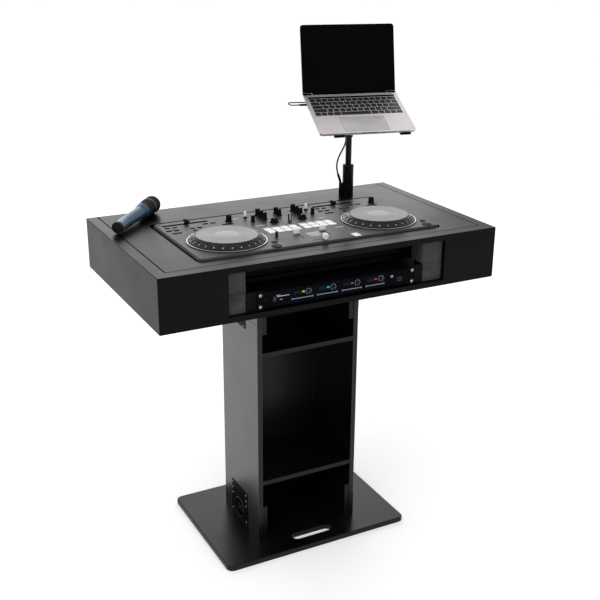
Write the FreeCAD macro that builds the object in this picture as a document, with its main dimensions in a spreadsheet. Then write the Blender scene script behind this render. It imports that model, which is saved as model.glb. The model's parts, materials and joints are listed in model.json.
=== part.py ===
import FreeCAD, Part
import math
import os
import re

# DJ booth: a table box on a shelf column on a base plate, with the gear that it carries.
# Millimetres. X runs to the operator's right, Y away from the operator, Z up.
# The origin is the middle of the base plate's underside.

SIZES = {
    # Base plate with a hand slot near its front edge
    "plate_wide": 605, "plate_deep": 434, "plate_thick": 15, "plate_corner": 20, "plate_edge": 4,
    "slot_long": 132, "slot_wide": 32, "slot_from_front": 57,
    # Column between the plinth on the plate and the socket under the table
    "board": 15, "column_wide": 329, "column_deep": 250, "column_shift": -4,
    "plinth_high": 78, "column_high": 623, "socket_high": 98,
    "tongue_thick": 15, "tongue_reach": 32, "tongue_setback": 3,
    "shelf_thick": 14, "shelf_setback": 2, "lower_shelf_rise": 120, "upper_shelf_drop": 88,
    # Butterfly latches across the seams, on both sides of the column
    "latch_wide": 116, "latch_shift": 13, "latch_gap": 2, "latch_skin": 1.5,
    "dish_high": 71, "keeper_high": 35, "cup_radius": 30, "cup_deep": 11, "cup_wall": 1.5,
    "hook_wide": 44, "hook_high": 12, "hook_thick": 3,
    "hub_radius": 9, "wing_long": 48, "wing_wide": 22, "wing_thick": 4, "wing_sink": 0.5,
    "ridge_long": 40, "ridge_wide": 6, "ridge_thick": 1.5,
    # Table box with a wide opening between two front panels
    "table_wide": 1020, "table_deep": 605, "table_high": 148, "edge_round": 3,
    "opening_left_share": 0.23556, "opening_right_share": 0.29111,
    "frame_thick": 16, "border_side": 32, "border_front": 36, "border_back": 38, "top_round": 2,
    "ledge_wide": 12, "ledge_thick": 7, "panel_gap": 1.5, "panel_left_gap": 2.8,
    "cutout_gap": 6, "cutout_back_gap": 23, "cutout_corner": 18,
    # Raw board cheeks beside the rack, and the shelf that carries the controller
    "cheek_left_lap": 22, "cheek_right_lap": 9.5, "cheek_deep": 430, "block_deep": 55, "carrier_thick": 12,
    # Rack rails and the one-unit receiver
    "rack_wide": 465.1, "rack_rows": 31.75, "rack_rise": 27, "rack_setback": 8.5,
    "rail_reach": 37.45, "rail_flange": 48, "rail_leg": 40, "rail_thick": 2, "rail_high": 54,
    "face_margin": 8.75, "face_high": 43.6, "face_thick": 3,
    "unit_margin": 14.55, "unit_deep": 200, "unit_high": 41, "unit_wall": 1.5,
    "screw_radius": 2.9, "screw_long": 14, "head_radius": 4.5, "head_thick": 3,
    "washer_radius": 8, "washer_thick": 1.2, "hole_clear": 0.4,
    "trim_radius": 4.6, "trim_long": 7, "trim_stem": 2,
    "trim_first": -91, "trim_pitch": 74.6, "trim_rise": 6.5,
    "rocker_wide": 9, "rocker_high": 15, "rocker_out": 2.5, "rocker_in": 2, "rocker_from_screw": 40.55,
    # Controller
    "deck_wide": 736, "deck_deep": 358, "deck_thick": 10, "deck_rise": 6, "deck_inset": 77.5,
    "deck_corner": 14, "deck_bevel": 4, "case_margin": 8, "case_high": 60, "case_wall": 3,
    "jog_column_share": 0.32473, "jog_line_share": 0.16712,
    "jog_rim_share": 0.1413, "jog_shoulder_share": 0.11957, "jog_top_share": 0.11617,
    "jog_skirt": 3, "jog_high": 18, "jog_cap": 2.5, "jog_lift": 0.5, "jog_hub": 20, "jog_hub_long": 8,
    "ring_gap": 1.5, "ring_wide": 4.5, "ring_high": 2.5,
    # Running clearance of pieces that move in one another, and how far cuts overrun
    "fit": 0.3, "overrun": 1,
    # Knobs: stem, then radius and height of each kind. Its column is a share of the deck's width
    # from the middle, its line and rows are shares of the deck's depth from the front
    "stem_radius": 3, "stem_long": 6, "knob_taper_share": 0.86,
    "deck_knob_radius": 9, "deck_knob_high": 16,
    "deck_knob_from_jog_share": 0.11005, "deck_knob_line_share": 0.82682,
    "eq_radius": 6.5, "eq_high": 20,
    "eq_column_share": 0.0788, "eq_line_share": 0.87709, "eq_row_share": 0.06425,
    "filter_radius": 8.5, "filter_high": 11, "filter_column_share": 0.06182, "filter_line_share": 0.63827,
    "side_radius": 6, "side_high": 17, "side_column_share": 0.1318, "side_line_share": 0.73464,
    "centre_radius": 6, "centre_high": 18, "centre_line_share": 0.87151, "centre_row_share": 0.06425,
    # Fader slots and caps
    "fader_slot": 3, "fader_stem": 2.2, "stem_depth": 6,
    "pitch_slot_share": 0.18071, "pitch_from_jog_share": -0.05639, "pitch_rest_share": -0.05163,
    "pitch_line_share": 0.90782,
    "pitch_cap_long": 11, "pitch_cap_wide": 20, "pitch_cap_high": 10,
    "channel_slot_share": 0.15642, "channel_line_share": 0.22346, "channel_rest_share": 0.28492,
    "channel_column_share": 0.05571,
    "channel_cap_long": 13, "channel_cap_wide": 22, "channel_cap_high": 13,
    "cross_slot_share": 0.08152, "cross_rest_share": 0.00815, "cross_line_share": 0.06145,
    "cross_cap_long": 14, "cross_cap_wide": 22, "cross_cap_high": 13,
    # Pads and transport buttons
    "pad_wide_share": 0.03125, "pad_pitch_share": 0.03533, "pad_first_share": 0.0231,
    "pad_deep_share": 0.05866, "pad_row_share": 0.06564, "pad_line_share": 0.39385,
    "pad_proud": 2, "pad_sunk": 4, "pocket_deep": 7, "button_proud": 1.5,
    "play_radius": 13, "play_from_jog_share": 0.13315, "play_line_share": 0.05307,
    "cue_radius": 7.5, "cue_from_jog_share": 0.14538, "cue_line_share": 0.14804,
    # Small levers of the mixer
    "paddle_wide": 10, "paddle_deep": 4, "paddle_high": 22, "paddle_line_share": 0.61453,
    "toggle_radius": 3.4, "toggle_high": 18.5, "toggle_foot": 5.5, "toggle_foot_high": 3,
    "toggle_column_share": 0.13587, "toggle_line_share": 0.86592,
    "curve_radius": 4.5, "curve_high": 16, "curve_column_share": 0.1413, "curve_line_share": 0.26536,
    # Laptop stand: sleeve through the top panel, sliding tube, swivelling head and tilting tray
    "stand_place": 307, "stand_from_cutout": 37,
    "sleeve_radius": 17.3, "sleeve_high": 104, "sleeve_round": 4,
    "guide_aside": 27, "guide_radius": 5, "guide_web": 7, "guide_high": 46.5, "guide_bore": 12,
    "spigot_radius": 12.5, "nut_radius": 21, "nut_thick": 8,
    "tube_radius": 9.5, "tube_bore": 7.5, "tube_foot": 14,
    "clip_radius": 12.5, "clip_high": 14, "clip_drop": 78,
    "boss_radius": 5, "boss_aside": -1, "boss_behind": 16,
    "tilt_high": 268, "socket_radius": 13, "socket_long": 26, "socket_drop": 17, "tube_top_drop": 22,
    "lug_wide": 12, "lug_radius": 9, "pin_radius": 4, "ear_thick": 5,
    "tray_turn": -12.1, "tray_tilt": 24.6, "tray_rise": 12, "tray_thick": 3,
    "bridge_deep": 80, "arm_wide": 33, "arm_back": 58, "left_arm": -75.6, "right_arm": 132.4,
    "lip_thick": 2.5, "lip_high": 5, "gland_radius": 4, "gland_long": 12, "gland_back": 43.5,
    # Laptop
    "laptop_wide": 304, "laptop_deep": 212.4, "laptop_thick": 10.4,
    "laptop_side": 5.8, "laptop_corner": 10,
    "laptop_skin": 1.5, "belly_bevel": 4.4, "laptop_aside": 14.4, "laptop_ahead": 41.2,
    "hinge_from_back": 2.7, "hinge_drop": 1.3, "hinge_pin": 0.7, "hinge_pin_long": 4,
    "barrel_radius": 3.6, "barrel_long": 244, "trough_radius": 4.1,
    "lid_thick": 4.5, "lid_gap": 0.4, "lid_angle": 125.4, "lid_tongue": 1.9,
    "port_low": 2.8, "plug_long": 22, "plug_wide": 8, "plug_thick": 4.5, "plug_round": 1.4,
    "plug_back": 53,
    # Cables
    "cable_thick": 5, "cable_sunk": 10, "cable_gap": 0.4, "lead_thick": 3.5,
    # Microphone, from its tail to the middle of its ball
    "mic_long": 231, "mic_ball": 25.8, "mic_tail": 17, "mic_neck": 18.6, "mic_collar": 24,
    "mic_cap_long": 7, "mic_neck_from": 164, "mic_head_from": 194, "mic_turn": 45.9,
    "mic_from_left": 31, "mic_from_front": 408,
}

# Part of the shorter run that each arc of a cord takes up
CORNER_SHARE = 0.45

doc = FreeCAD.newDocument("dj_booth")
sheet = doc.addObject("Spreadsheet::Sheet", "sizes")
for row, (alias, number) in enumerate(SIZES.items(), start=1):
    sheet.set(f"A{row}", alias)
    sheet.set(f"B{row}", str(number))
    sheet.setAlias(f"B{row}", alias)
doc.recompute()

sub_parts = []


def bound(text):
    """An expression in which every size name points at its cell."""
    def cell(word):
        return f"sizes.{word.group()}" if word.group() in SIZES else word.group()
    return re.sub(r"[a-z_]+", cell, text)


def around(middle, size):
    """A span of the given size about its middle."""
    return f"({middle}) - ({size}) / 2", f"({middle}) + ({size}) / 2"


def sides(inner, outer, side):
    """A span of X to the right of the middle, or its mirror image to the left."""
    return (inner, outer) if side > 0 else (f"-({outer})", f"-({inner})")


def move(obj, x, y, z):
    for axis, text in zip("xyz", (x, y, z)):
        obj.setExpression(f"Placement.Base.{axis}", bound(text))
    return obj


def block(name, x, y, z):
    """A box between a low and a high expression along each axis."""
    obj = doc.addObject("Part::Box", name)
    for prop, (low, high) in zip(("Length", "Width", "Height"), (x, y, z)):
        obj.setExpression(prop, bound(f"({high}) - ({low})"))
    return move(obj, x[0], y[0], z[0])


def turned(axis, angle):
    return FreeCAD.Placement(FreeCAD.Vector(), FreeCAD.Rotation(FreeCAD.Vector(*axis), angle))


def round_bar(kind, name, radii, place, axis):
    """A cylinder or cone; the axis that it stands along has a low and a high expression."""
    turns = {"x": ((0, 1, 0), 90), "y": ((1, 0, 0), -90), "z": ((0, 0, 1), 0)}
    direction, angle = turns[axis]
    obj = doc.addObject(kind, name)
    obj.Placement = turned(direction, angle)
    for prop, text in radii.items():
        obj.setExpression(prop, bound(text))
    low, high = place["xyz".index(axis)]
    obj.setExpression("Height", bound(f"({high}) - ({low})"))
    return move(obj, *[text if isinstance(text, str) else text[0] for text in place])


def rod(name, radius, x, y, z, axis="z"):
    return round_bar("Part::Cylinder", name, {"Radius": radius}, (x, y, z), axis)


def taper(name, low_radius, high_radius, x, y, z, axis="z"):
    radii = {"Radius1": low_radius, "Radius2": high_radius}
    return round_bar("Part::Cone", name, radii, (x, y, z), axis)


def fused(name, objects):
    obj = doc.addObject("Part::MultiFuse", name)
    obj.Shapes = objects
    obj.Refine = True
    return obj


def shared(name, objects):
    """What all the objects have in common."""
    obj = doc.addObject("Part::MultiCommon", name)
    obj.Shapes = objects
    return obj


def group(name, objects):
    """Separate solids under one name."""
    obj = doc.addObject("Part::Compound", name)
    obj.Links = objects
    return obj


def less(name, base, *tools):
    """The base with every tool cut out of it."""
    obj = doc.addObject("Part::Cut", name)
    obj.Base = base
    obj.Tool = tools[0] if len(tools) == 1 else group(name + "_tools", list(tools))
    return obj


def eased(name, kind, base, size, wanted):
    """Round (Part::Fillet) or bevel (Part::Chamfer) the edges that are wanted."""
    doc.recompute()
    obj = doc.addObject(kind, name)
    obj.Base = base
    numbered = enumerate(base.Shape.Edges, start=1)
    obj.Edges = [(number, size, size) for number, edge in numbered if wanted(edge)]
    return obj


def upright(edge):
    return edge.BoundBox.ZLength > edge.BoundBox.XLength + edge.BoundBox.YLength


def above(level):
    """A choice of the edges that lie wholly above a level."""
    return lambda edge: edge.BoundBox.ZMin > level


def keep(name, obj):
    """Name a finished sub-part."""
    obj.Label = name
    sub_parts.append(obj)
    return obj


# Levels and lines that several pieces share, as expressions
hands = (("left", -1), ("right", 1))
lower_seam = "(plate_thick + plinth_high)"
upper_seam = f"({lower_seam} + column_high)"
table_foot = f"({upper_seam} + socket_high)"
table_floor = f"({table_foot} + board)"
table_top = f"({table_foot} + table_high)"
frame_foot = f"({table_top} - frame_thick)"
panel_foot = f"({frame_foot} + ledge_thick)"
deck_top = f"({table_top} + deck_rise)"
deck_foot = f"({deck_top} - deck_thick)"
case_foot = f"({deck_foot} - case_high)"
carrier_foot = f"({case_foot} - carrier_thick)"
pivot_level = f"({table_top} + tilt_high)"

column_front = "(column_shift - column_deep / 2)"
column_rear = "(column_shift + column_deep / 2)"
column_inside = "(column_wide / 2 - board)"
table_side = "(table_wide / 2)"
table_front = "(-table_deep / 2)"
table_rear = "(table_deep / 2)"
table_depth = (table_front, table_rear)
deck_front = f"({table_front} + deck_inset)"
deck_rear = f"({deck_front} + deck_deep)"
cutout_rear = f"({deck_rear} + cutout_back_gap)"
stand_line = f"({cutout_rear} + stand_from_cutout)"
cheek_inside = "(rack_wide / 2 + rail_reach)"
beside_cheek = f"({table_side} - board - {cheek_inside})"
opening_side = {word: f"({cheek_inside} + {beside_cheek} * opening_{word}_share)"
                for word in ("left", "right")}
cheek_outside = {word: f"({edge} + cheek_{word}_lap)" for word, edge in opening_side.items()}
through_deck = (f"{deck_foot} - overrun", f"{deck_top} + overrun")
through_panel = (f"{panel_foot} - overrun", f"{table_top} + overrun")

# The same table top and stand as numbers, for edges and for pieces that are turned
floor_to_top = ("plate_thick", "plinth_high", "column_high", "socket_high", "table_high")
top_level = sum(SIZES[name] for name in floor_to_top)
deck_level = top_level + SIZES["deck_rise"]
front_to_stand = ("deck_inset", "deck_deep", "cutout_back_gap", "stand_from_cutout")
stand_depth = sum(SIZES[name] for name in front_to_stand) - SIZES["table_deep"] / 2


def base_plate():
    plate = block("plate_blank", around("0", "plate_wide"), around("0", "plate_deep"),
                  ("0", "plate_thick"))
    plate = eased("plate_rounded", "Part::Fillet", plate, SIZES["plate_corner"], upright)
    upper_edges = above(SIZES["plate_thick"] - SIZES["plate_edge"])
    plate = eased("plate_eased", "Part::Fillet", plate, SIZES["plate_edge"], upper_edges)
    line = "(slot_from_front - plate_deep / 2)"
    through = ("-overrun", "plate_thick + overrun")
    reach = "(slot_long - slot_wide) / 2"
    slot = fused("hand_slot", [
        block("slot_middle", (f"-{reach}", reach), around(line, "slot_wide"), through),
        rod("slot_left_end", "slot_wide / 2", f"-{reach}", line, through),
        rod("slot_right_end", "slot_wide / 2", reach, line, through)])
    keep("base_plate", less("base_plate", plate, slot))


def latch_middle(seam, up):
    """Height of a latch's cup: the dish lies across the seam from the column."""
    return f"({seam} {'+' if up else '-'} (latch_gap + dish_high / 2))"


def from_wall(low, high, side):
    """A span of X measured outwards from the column's side."""
    return sides(f"column_wide / 2 + ({low})", f"column_wide / 2 + ({high})", side)


latch_line = "(column_shift + latch_shift)"
seams = (("lower", lower_seam, False), ("upper", upper_seam, True))


def three_walls(name, low, high, seam, up):
    """Side and back boards of the plinth or socket, with pockets for the latch cups."""
    boards = []
    for word, side in hands:
        wall = block(f"{name}_{word}", sides(column_inside, "column_wide / 2", side),
                     (column_front, column_rear), (low, high))
        pocket = rod(f"{name}_{word}_pocket", "cup_radius + fit",
                     from_wall("-cup_deep - fit", "overrun", side),
                     latch_line, latch_middle(seam, up), "x")
        boards.append(less(f"{name}_{word}_board", wall, pocket))
    boards.append(block(f"{name}_back", (f"-{column_inside}", column_inside),
                        (f"{column_rear} - board", column_rear), (low, high)))
    keep(name, group(name, boards))


def tongues():
    """Boards glued inside the plinth and the socket, reaching past the seam into the column."""
    spans = {"lower": ("plate_thick", f"{lower_seam} + tongue_reach"),
             "upper": (f"{upper_seam} - tongue_reach", table_foot)}
    depth = (f"{column_front} + tongue_setback", f"{column_rear} - board")
    boards = [block(f"{word}_{hand}_tongue",
                    sides(f"{column_inside} - tongue_thick", column_inside, side), depth, span)
              for word, span in spans.items() for hand, side in hands]
    keep("locating_tongues", group("locating_tongues", boards))


def column():
    height = (lower_seam, upper_seam)
    walls = [block(f"column_{word}", sides(column_inside, "column_wide / 2", side),
                   (column_front, column_rear), height) for word, side in hands]
    keep("column_side_walls", group("column_side_walls", walls))
    inside = (f"-{column_inside}", column_inside)
    back = block("column_back", inside, (f"{column_rear} - board", column_rear), height)
    keep("column_back", back)
    tops = {"lower": f"({lower_seam} + lower_shelf_rise)",
            "upper": f"({upper_seam} - upper_shelf_drop)"}
    depth = (f"{column_front} + shelf_setback", f"{column_rear} - board")
    shelves = [block(f"{word}_shelf", inside, depth, (f"{top} - shelf_thick", top))
               for word, top in tops.items()]
    keep("shelves", group("shelves", shelves))


def latch(name, side, seam, up):
    """Dish with a round cup, keeper with a hook, and the wing that turns in the cup."""
    middle = latch_middle(seam, up)
    towards, away = ("+", "-") if up else ("-", "+")
    wide = around(latch_line, "latch_wide")
    skin = from_wall("0", "latch_skin", side)

    plate = block(f"dish_skin_{name}", skin, wide, around(middle, "dish_high"))
    cup = rod(f"dish_cup_{name}", "cup_radius", from_wall("-cup_deep", "latch_skin / 2", side),
              latch_line, middle, "x")
    hollow = rod(f"dish_hollow_{name}", "cup_radius - cup_wall",
                 from_wall("cup_wall - cup_deep", "latch_skin + overrun", side), latch_line, middle, "x")
    dish = less(f"dish_{name}", fused(f"dish_blank_{name}", [plate, cup]), hollow)

    keeper_middle = f"({seam} {away} (latch_gap + keeper_high / 2))"
    hook_middle = f"({keeper_middle} {towards} (keeper_high - hook_high) / 2)"
    keeper = fused(f"keeper_{name}", [
        block(f"keeper_skin_{name}", skin, wide, around(keeper_middle, "keeper_high")),
        block(f"keeper_hook_{name}", from_wall("latch_skin / 2", "hook_thick", side),
              around(latch_line, "hook_wide"), around(hook_middle, "hook_high"))])

    inside = "-wing_sink - wing_thick / 2"
    wing = fused(f"latch_wing_{name}", [
        rod(f"wing_hub_{name}", "hub_radius", from_wall("cup_wall - cup_deep + fit", inside, side),
            latch_line, middle, "x"),
        block(f"wing_leaf_{name}", from_wall("-wing_sink - wing_thick", "-wing_sink", side),
              around(latch_line, "wing_long"), around(middle, "wing_wide")),
        block(f"wing_ridge_{name}", from_wall(inside, "ridge_thick - wing_sink", side),
              around(latch_line, "ridge_long"), around(middle, "ridge_wide"))])
    keep(f"latch_wing_{name}", wing)
    return [dish, keeper]


def latches():
    plates = []
    for word, seam, up in seams:
        for hand, side in hands:
            plates += latch(f"{hand}_{word}", side, seam, up)
    keep("latch_plates", group("latch_plates", plates))


def table_box():
    height = (table_floor, frame_foot)
    inner_side = f"({table_side} - board)"
    floor = block("table_bottom_blank", (f"-{table_side}", table_side), table_depth,
                  (table_foot, table_floor))
    keep("table_bottom", eased("table_bottom", "Part::Fillet", floor, SIZES["edge_round"], upright))
    walls = []
    for word, side in hands:
        wall = block(f"table_{word}_blank", sides(inner_side, table_side, side), table_depth, height)
        middle = (SIZES["table_wide"] - SIZES["board"]) / 2
        walls.append(eased(f"table_{word}_wall", "Part::Fillet", wall, SIZES["edge_round"],
                           lambda edge: upright(edge) and side * edge.BoundBox.XMin > middle))
    walls.append(block("table_back_wall", (f"-{inner_side}", inner_side),
                       (f"{table_rear} - board", table_rear), height))
    keep("table_walls", group("table_walls", walls))
    fronts = [block(f"table_{word}_front", sides(opening_side[word], inner_side, side),
                    (table_front, f"{table_front} + board"), height) for word, side in hands]
    keep("table_front_panels", group("table_front_panels", fronts))


def table_lid():
    """The border frame with its ledge, and the inset panel with its cut-outs."""
    blank = block("frame_blank", (f"-{table_side}", table_side), table_depth, (frame_foot, table_top))
    blank = eased("frame_rounded", "Part::Fillet", blank, SIZES["edge_round"], upright)
    blank = eased("frame_eased", "Part::Fillet", blank, SIZES["top_round"],
                  above(top_level - SIZES["top_round"]))
    inner_side = f"({table_side} - border_side)"
    inner_front = f"({table_front} + border_front)"
    inner_rear = f"({table_rear} - border_back)"
    seat = block("frame_seat", (f"-{inner_side}", inner_side), (inner_front, inner_rear),
                 (panel_foot, f"{table_top} + overrun"))
    light = block("frame_light", (f"ledge_wide - {inner_side}", f"{inner_side} - ledge_wide"),
                  (f"{inner_front} + ledge_wide", f"{inner_rear} - ledge_wide"),
                  (f"{frame_foot} - overrun", f"{panel_foot} + overrun"))
    keep("top_frame", less("top_frame", less("frame_seated", blank, seat), light))

    panel = block("panel_blank", (f"panel_left_gap - {inner_side}", f"{inner_side} - panel_gap"),
                  (f"{inner_front} + panel_gap", f"{inner_rear} - panel_gap"), (panel_foot, table_top))
    cutout = block("cutout_blank", around("0", "deck_wide + 2 * cutout_gap"),
                   (f"{deck_front} - cutout_gap", cutout_rear), through_panel)
    cutout = eased("cutout", "Part::Fillet", cutout, SIZES["cutout_corner"], upright)
    post = rod("post_hole", "spigot_radius + fit", "stand_place", stand_line, through_panel)
    keep("top_panel", less("top_panel", panel, cutout, post))


def cheeks():
    """Raw board cheeks: a long lower pair under the controller's shelf, a short upper pair in front."""
    front = f"({table_front} + board)"
    blocks = []
    for word, side in hands:
        wide = sides(cheek_inside, cheek_outside[word], side)
        blocks.append(block(f"lower_{word}_cheek", wide, (front, f"{front} + cheek_deep"),
                            (table_floor, carrier_foot)))
        blocks.append(block(f"upper_{word}_cheek", wide, (front, f"{front} + block_deep"),
                            (carrier_foot, frame_foot)))
    keep("rack_cheeks", group("rack_cheeks", blocks))
    shelf = block("controller_shelf", (f"-{cheek_outside['left']}", cheek_outside["right"]),
                  (f"{front} + block_deep", f"{front} + cheek_deep"), (carrier_foot, case_foot))
    keep("controller_shelf", shelf)


face_front = f"({table_front} + rack_setback)"
face_rear = f"({face_front} + face_thick)"
rack_middle = f"({table_floor} + rack_rise)"
rocker_place = "(rocker_from_screw - rack_wide / 2)"
rack_places = [(f"{word}_{level}", f"({side} * rack_wide / 2)", f"({rack_middle} {sign} rack_rows / 2)")
               for word, side in hands for level, sign in (("low", "-"), ("high", "+"))]


def rack_holes(name, depth):
    """Clearance holes at the four rack screws, the left pair first."""
    return [rod(f"{name}_{word}", "screw_radius + hole_clear", x, depth, z, "y")
            for word, x, z in rack_places]


def rack():
    tall = around(rack_middle, "rail_high")
    holes = rack_holes("rail_hole", (f"{face_rear} - overrun", f"{face_rear} + rail_thick + overrun"))
    rails = []
    for (word, side), pair in zip(hands, (holes[:2], holes[2:])):
        flange = block(f"{word}_flange", sides(f"{cheek_inside} - rail_flange", cheek_inside, side),
                       (face_rear, f"{face_rear} + rail_thick"), tall)
        leg = block(f"{word}_leg", sides(f"{cheek_inside} - rail_thick", cheek_inside, side),
                    (face_rear, f"{face_rear} + rail_leg"), tall)
        rails.append(less(f"{word}_rail", fused(f"{word}_rail_blank", [flange, leg]), *pair))
    keep("rack_rails", group("rack_rails", rails))

    fixings = []
    under_head = f"({face_front} - washer_thick)"
    for word, x, z in rack_places:
        head = rod(f"head_{word}", "head_radius", x, (f"{under_head} - head_thick", under_head), z, "y")
        shank = rod(f"shank_{word}", "screw_radius", x,
                    (f"{under_head} - head_thick / 2", f"{under_head} + screw_long"), z, "y")
        fixings.append(fused(f"screw_{word}", [head, shank]))
        disc = rod(f"disc_{word}", "washer_radius", x, (under_head, face_front), z, "y")
        eye = rod(f"eye_{word}", "screw_radius + hole_clear", x,
                  (f"{under_head} - overrun", f"{face_front} + overrun"), z, "y")
        fixings.append(less(f"washer_{word}", disc, eye))
    keep("rack_screws", group("rack_screws", fixings))


def receiver():
    unit_wide = "(rack_wide - 2 * unit_margin)"
    shell = block("unit_blank", around("0", unit_wide), (face_rear, f"{face_rear} + unit_deep"),
                  around(rack_middle, "unit_high"))
    inside = block("unit_inside", around("0", f"{unit_wide} - 2 * unit_wall"),
                   (f"{face_rear} - overrun", f"{face_rear} + unit_deep - unit_wall"),
                   around(rack_middle, "unit_high - 2 * unit_wall"))
    keep("receiver_case", less("receiver_case", shell, inside))

    face = block("face_blank", around("0", "rack_wide + 2 * face_margin"), (face_front, face_rear),
                 around(rack_middle, "face_high"))
    through = (f"{face_front} - overrun", f"{face_rear} + overrun")
    cuts = rack_holes("face_hole", through)
    cuts.append(block("rocker_window", around(rocker_place, "rocker_wide + 2 * fit"), through,
                      around(rack_middle, "rocker_high + 2 * fit")))
    knobs = []
    level = f"({rack_middle} + trim_rise)"
    for count in range(4):
        place = f"(trim_first + {count} * trim_pitch)"
        cuts.append(rod(f"trim_hole_{count}", "trim_stem + fit", place, through, level, "y"))
        cap = taper(f"trim_cap_{count}", "trim_radius * knob_taper_share", "trim_radius", place,
                    (f"{face_front} - fit - trim_long", f"{face_front} - fit"), level, "y")
        stem = rod(f"trim_shaft_{count}", "trim_stem", place,
                   (f"{face_front} - trim_long / 2", face_rear), level, "y")
        knobs.append(fused(f"trim_{count}", [cap, stem]))
    keep("receiver_panel", less("receiver_panel", face, *cuts))
    keep("receiver_knobs", group("receiver_knobs", knobs))

    wide = around(rocker_place, "rocker_wide")
    slab = block("rocker_blank", wide, (f"{face_front} - rocker_out", f"{face_front} + rocker_in"),
                 around(rack_middle, "rocker_high"))
    drum = rod("rocker_drum", "rocker_high / 2", wide, f"{face_front} + rocker_in", rack_middle, "x")
    keep("receiver_switch", shared("receiver_switch", [slab, drum]))


jogs = (("left", "-jog_column_share"), ("right", "jog_column_share"))


def across(share):
    """A place or size across the deck, as a share of its width."""
    return f"(deck_wide * ({share}))"


def from_front(share):
    """A line on the deck, as a share of its depth from the front."""
    return f"({deck_front} + deck_deep * ({share}))"


def knob_places():
    """Every turning knob: its name, kind, column and line."""
    places = []
    for (hand, jog), sign in zip(jogs, ("-", "")):
        places.append((f"deck_knob_{hand}", "deck_knob", f"{jog} + deck_knob_from_jog_share",
                       "deck_knob_line_share"))
        for count, word in enumerate(("high", "mid", "low")):
            places.append((f"eq_knob_{hand}_{word}", "eq", f"{sign}eq_column_share",
                           f"eq_line_share - {count} * eq_row_share"))
        for kind in ("filter", "side"):
            places.append((f"{kind}_knob_{hand}", kind, f"{sign}{kind}_column_share",
                           f"{kind}_line_share"))
    for count, word in enumerate(("back", "front")):
        places.append((f"centre_knob_{word}", "centre", "0",
                       f"centre_line_share - {count} * centre_row_share"))
    return places


def knobs():
    """Tapered knobs on stems; gives back the stem holes."""
    holes = []
    foot = f"({deck_top} + fit)"
    for name, kind, column_share, line_share in knob_places():
        radius, high = f"{kind}_radius", f"{kind}_high"
        x, y = across(column_share), from_front(line_share)
        body = taper(f"{name}_body", radius, f"{radius} * knob_taper_share", x, y,
                     (foot, f"{foot} + {high}"))
        stem = rod(f"{name}_stem", "stem_radius", x, y,
                   (f"{deck_top} - stem_long", f"{foot} + {high} / 2"))
        keep(name, fused(name, [body, stem]))
        holes.append(rod(f"{name}_hole", "stem_radius + fit", x, y, through_deck))
    return holes


def fader(name, cap, along, slot, rest, line):
    """A fader cap on its blade; gives back the slot, which is a span along the line."""
    def laid(lengthwise, crosswise):
        return (lengthwise, crosswise) if along == "x" else (crosswise, lengthwise)
    foot = f"({deck_top} + fit)"
    high = f"{cap}_cap_high"
    plan = laid(around(rest, f"{cap}_cap_long"), around(line, f"{cap}_cap_wide"))
    grip = block(f"{name}_grip", *plan, (foot, f"{foot} + {high}"))
    grip = eased(f"{name}_bevelled", "Part::Chamfer", grip, SIZES["fader_stem"],
                 above(deck_level + SIZES[high] / 2))
    plan = laid(around(rest, "2 * fader_stem"), around(line, "fader_stem"))
    blade = block(f"{name}_blade", *plan, (f"{deck_top} - stem_depth", f"{foot} + {high} / 2"))
    keep(name, fused(name, [grip, blade]))
    return block(f"{name}_slot", *laid(slot, around(line, "fader_slot")), through_deck)


def faders():
    slots = [fader(f"pitch_cap_{hand}", "pitch", "x",
                   around(across(f"{jog} + pitch_from_jog_share"), across("pitch_slot_share")),
                   across(f"{jog} + pitch_rest_share"), from_front("pitch_line_share"))
             for hand, jog in jogs]
    channel_slot = around(from_front("channel_line_share"), "deck_deep * channel_slot_share")
    slots += [fader(f"channel_cap_{hand}", "channel", "y", channel_slot, from_front("channel_rest_share"),
                    across(f"{side} * channel_column_share")) for hand, side in hands]
    slots.append(fader("crossfader_cap", "cross", "x", around("0", across("cross_slot_share")),
                       across("cross_rest_share"), from_front("cross_line_share")))
    return slots


def pads():
    """Two rows of four pads on each side of the mixer; gives back their pockets."""
    caps = []
    pockets = []
    for hand, side in hands:
        for count in range(8):
            x = across(f"{side} * (pad_first_share + {count % 4} * pad_pitch_share)")
            y = from_front(f"pad_line_share + {count // 4} * pad_row_share")
            wide, deep = across("pad_wide_share"), "deck_deep * pad_deep_share"
            caps.append(block(f"pad_{hand}_{count}", around(x, wide), around(y, deep),
                              (f"{deck_top} - pad_sunk", f"{deck_top} + pad_proud")))
            pockets.append(block(f"pad_pocket_{hand}_{count}", around(x, f"{wide} + 2 * fit"),
                                 around(y, f"{deep} + 2 * fit"),
                                 (f"{deck_top} - pocket_deep", f"{deck_top} + overrun")))
    keep("performance_pads", group("performance_pads", caps))
    return pockets


def transport():
    """A large and a small round button beside each jog wheel; gives back their pockets."""
    caps = []
    pockets = []
    for hand, jog in jogs:
        for kind in ("play", "cue"):
            place = (across(f"{jog} + {kind}_from_jog_share"), from_front(f"{kind}_line_share"))
            caps.append(rod(f"{kind}_{hand}", f"{kind}_radius", *place,
                            (f"{deck_top} - pad_sunk", f"{deck_top} + button_proud")))
            pockets.append(rod(f"{kind}_{hand}_pocket", f"{kind}_radius + fit", *place,
                               (f"{deck_top} - pocket_deep", f"{deck_top} + overrun")))
    keep("transport_buttons", group("transport_buttons", caps))
    return pockets


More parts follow.
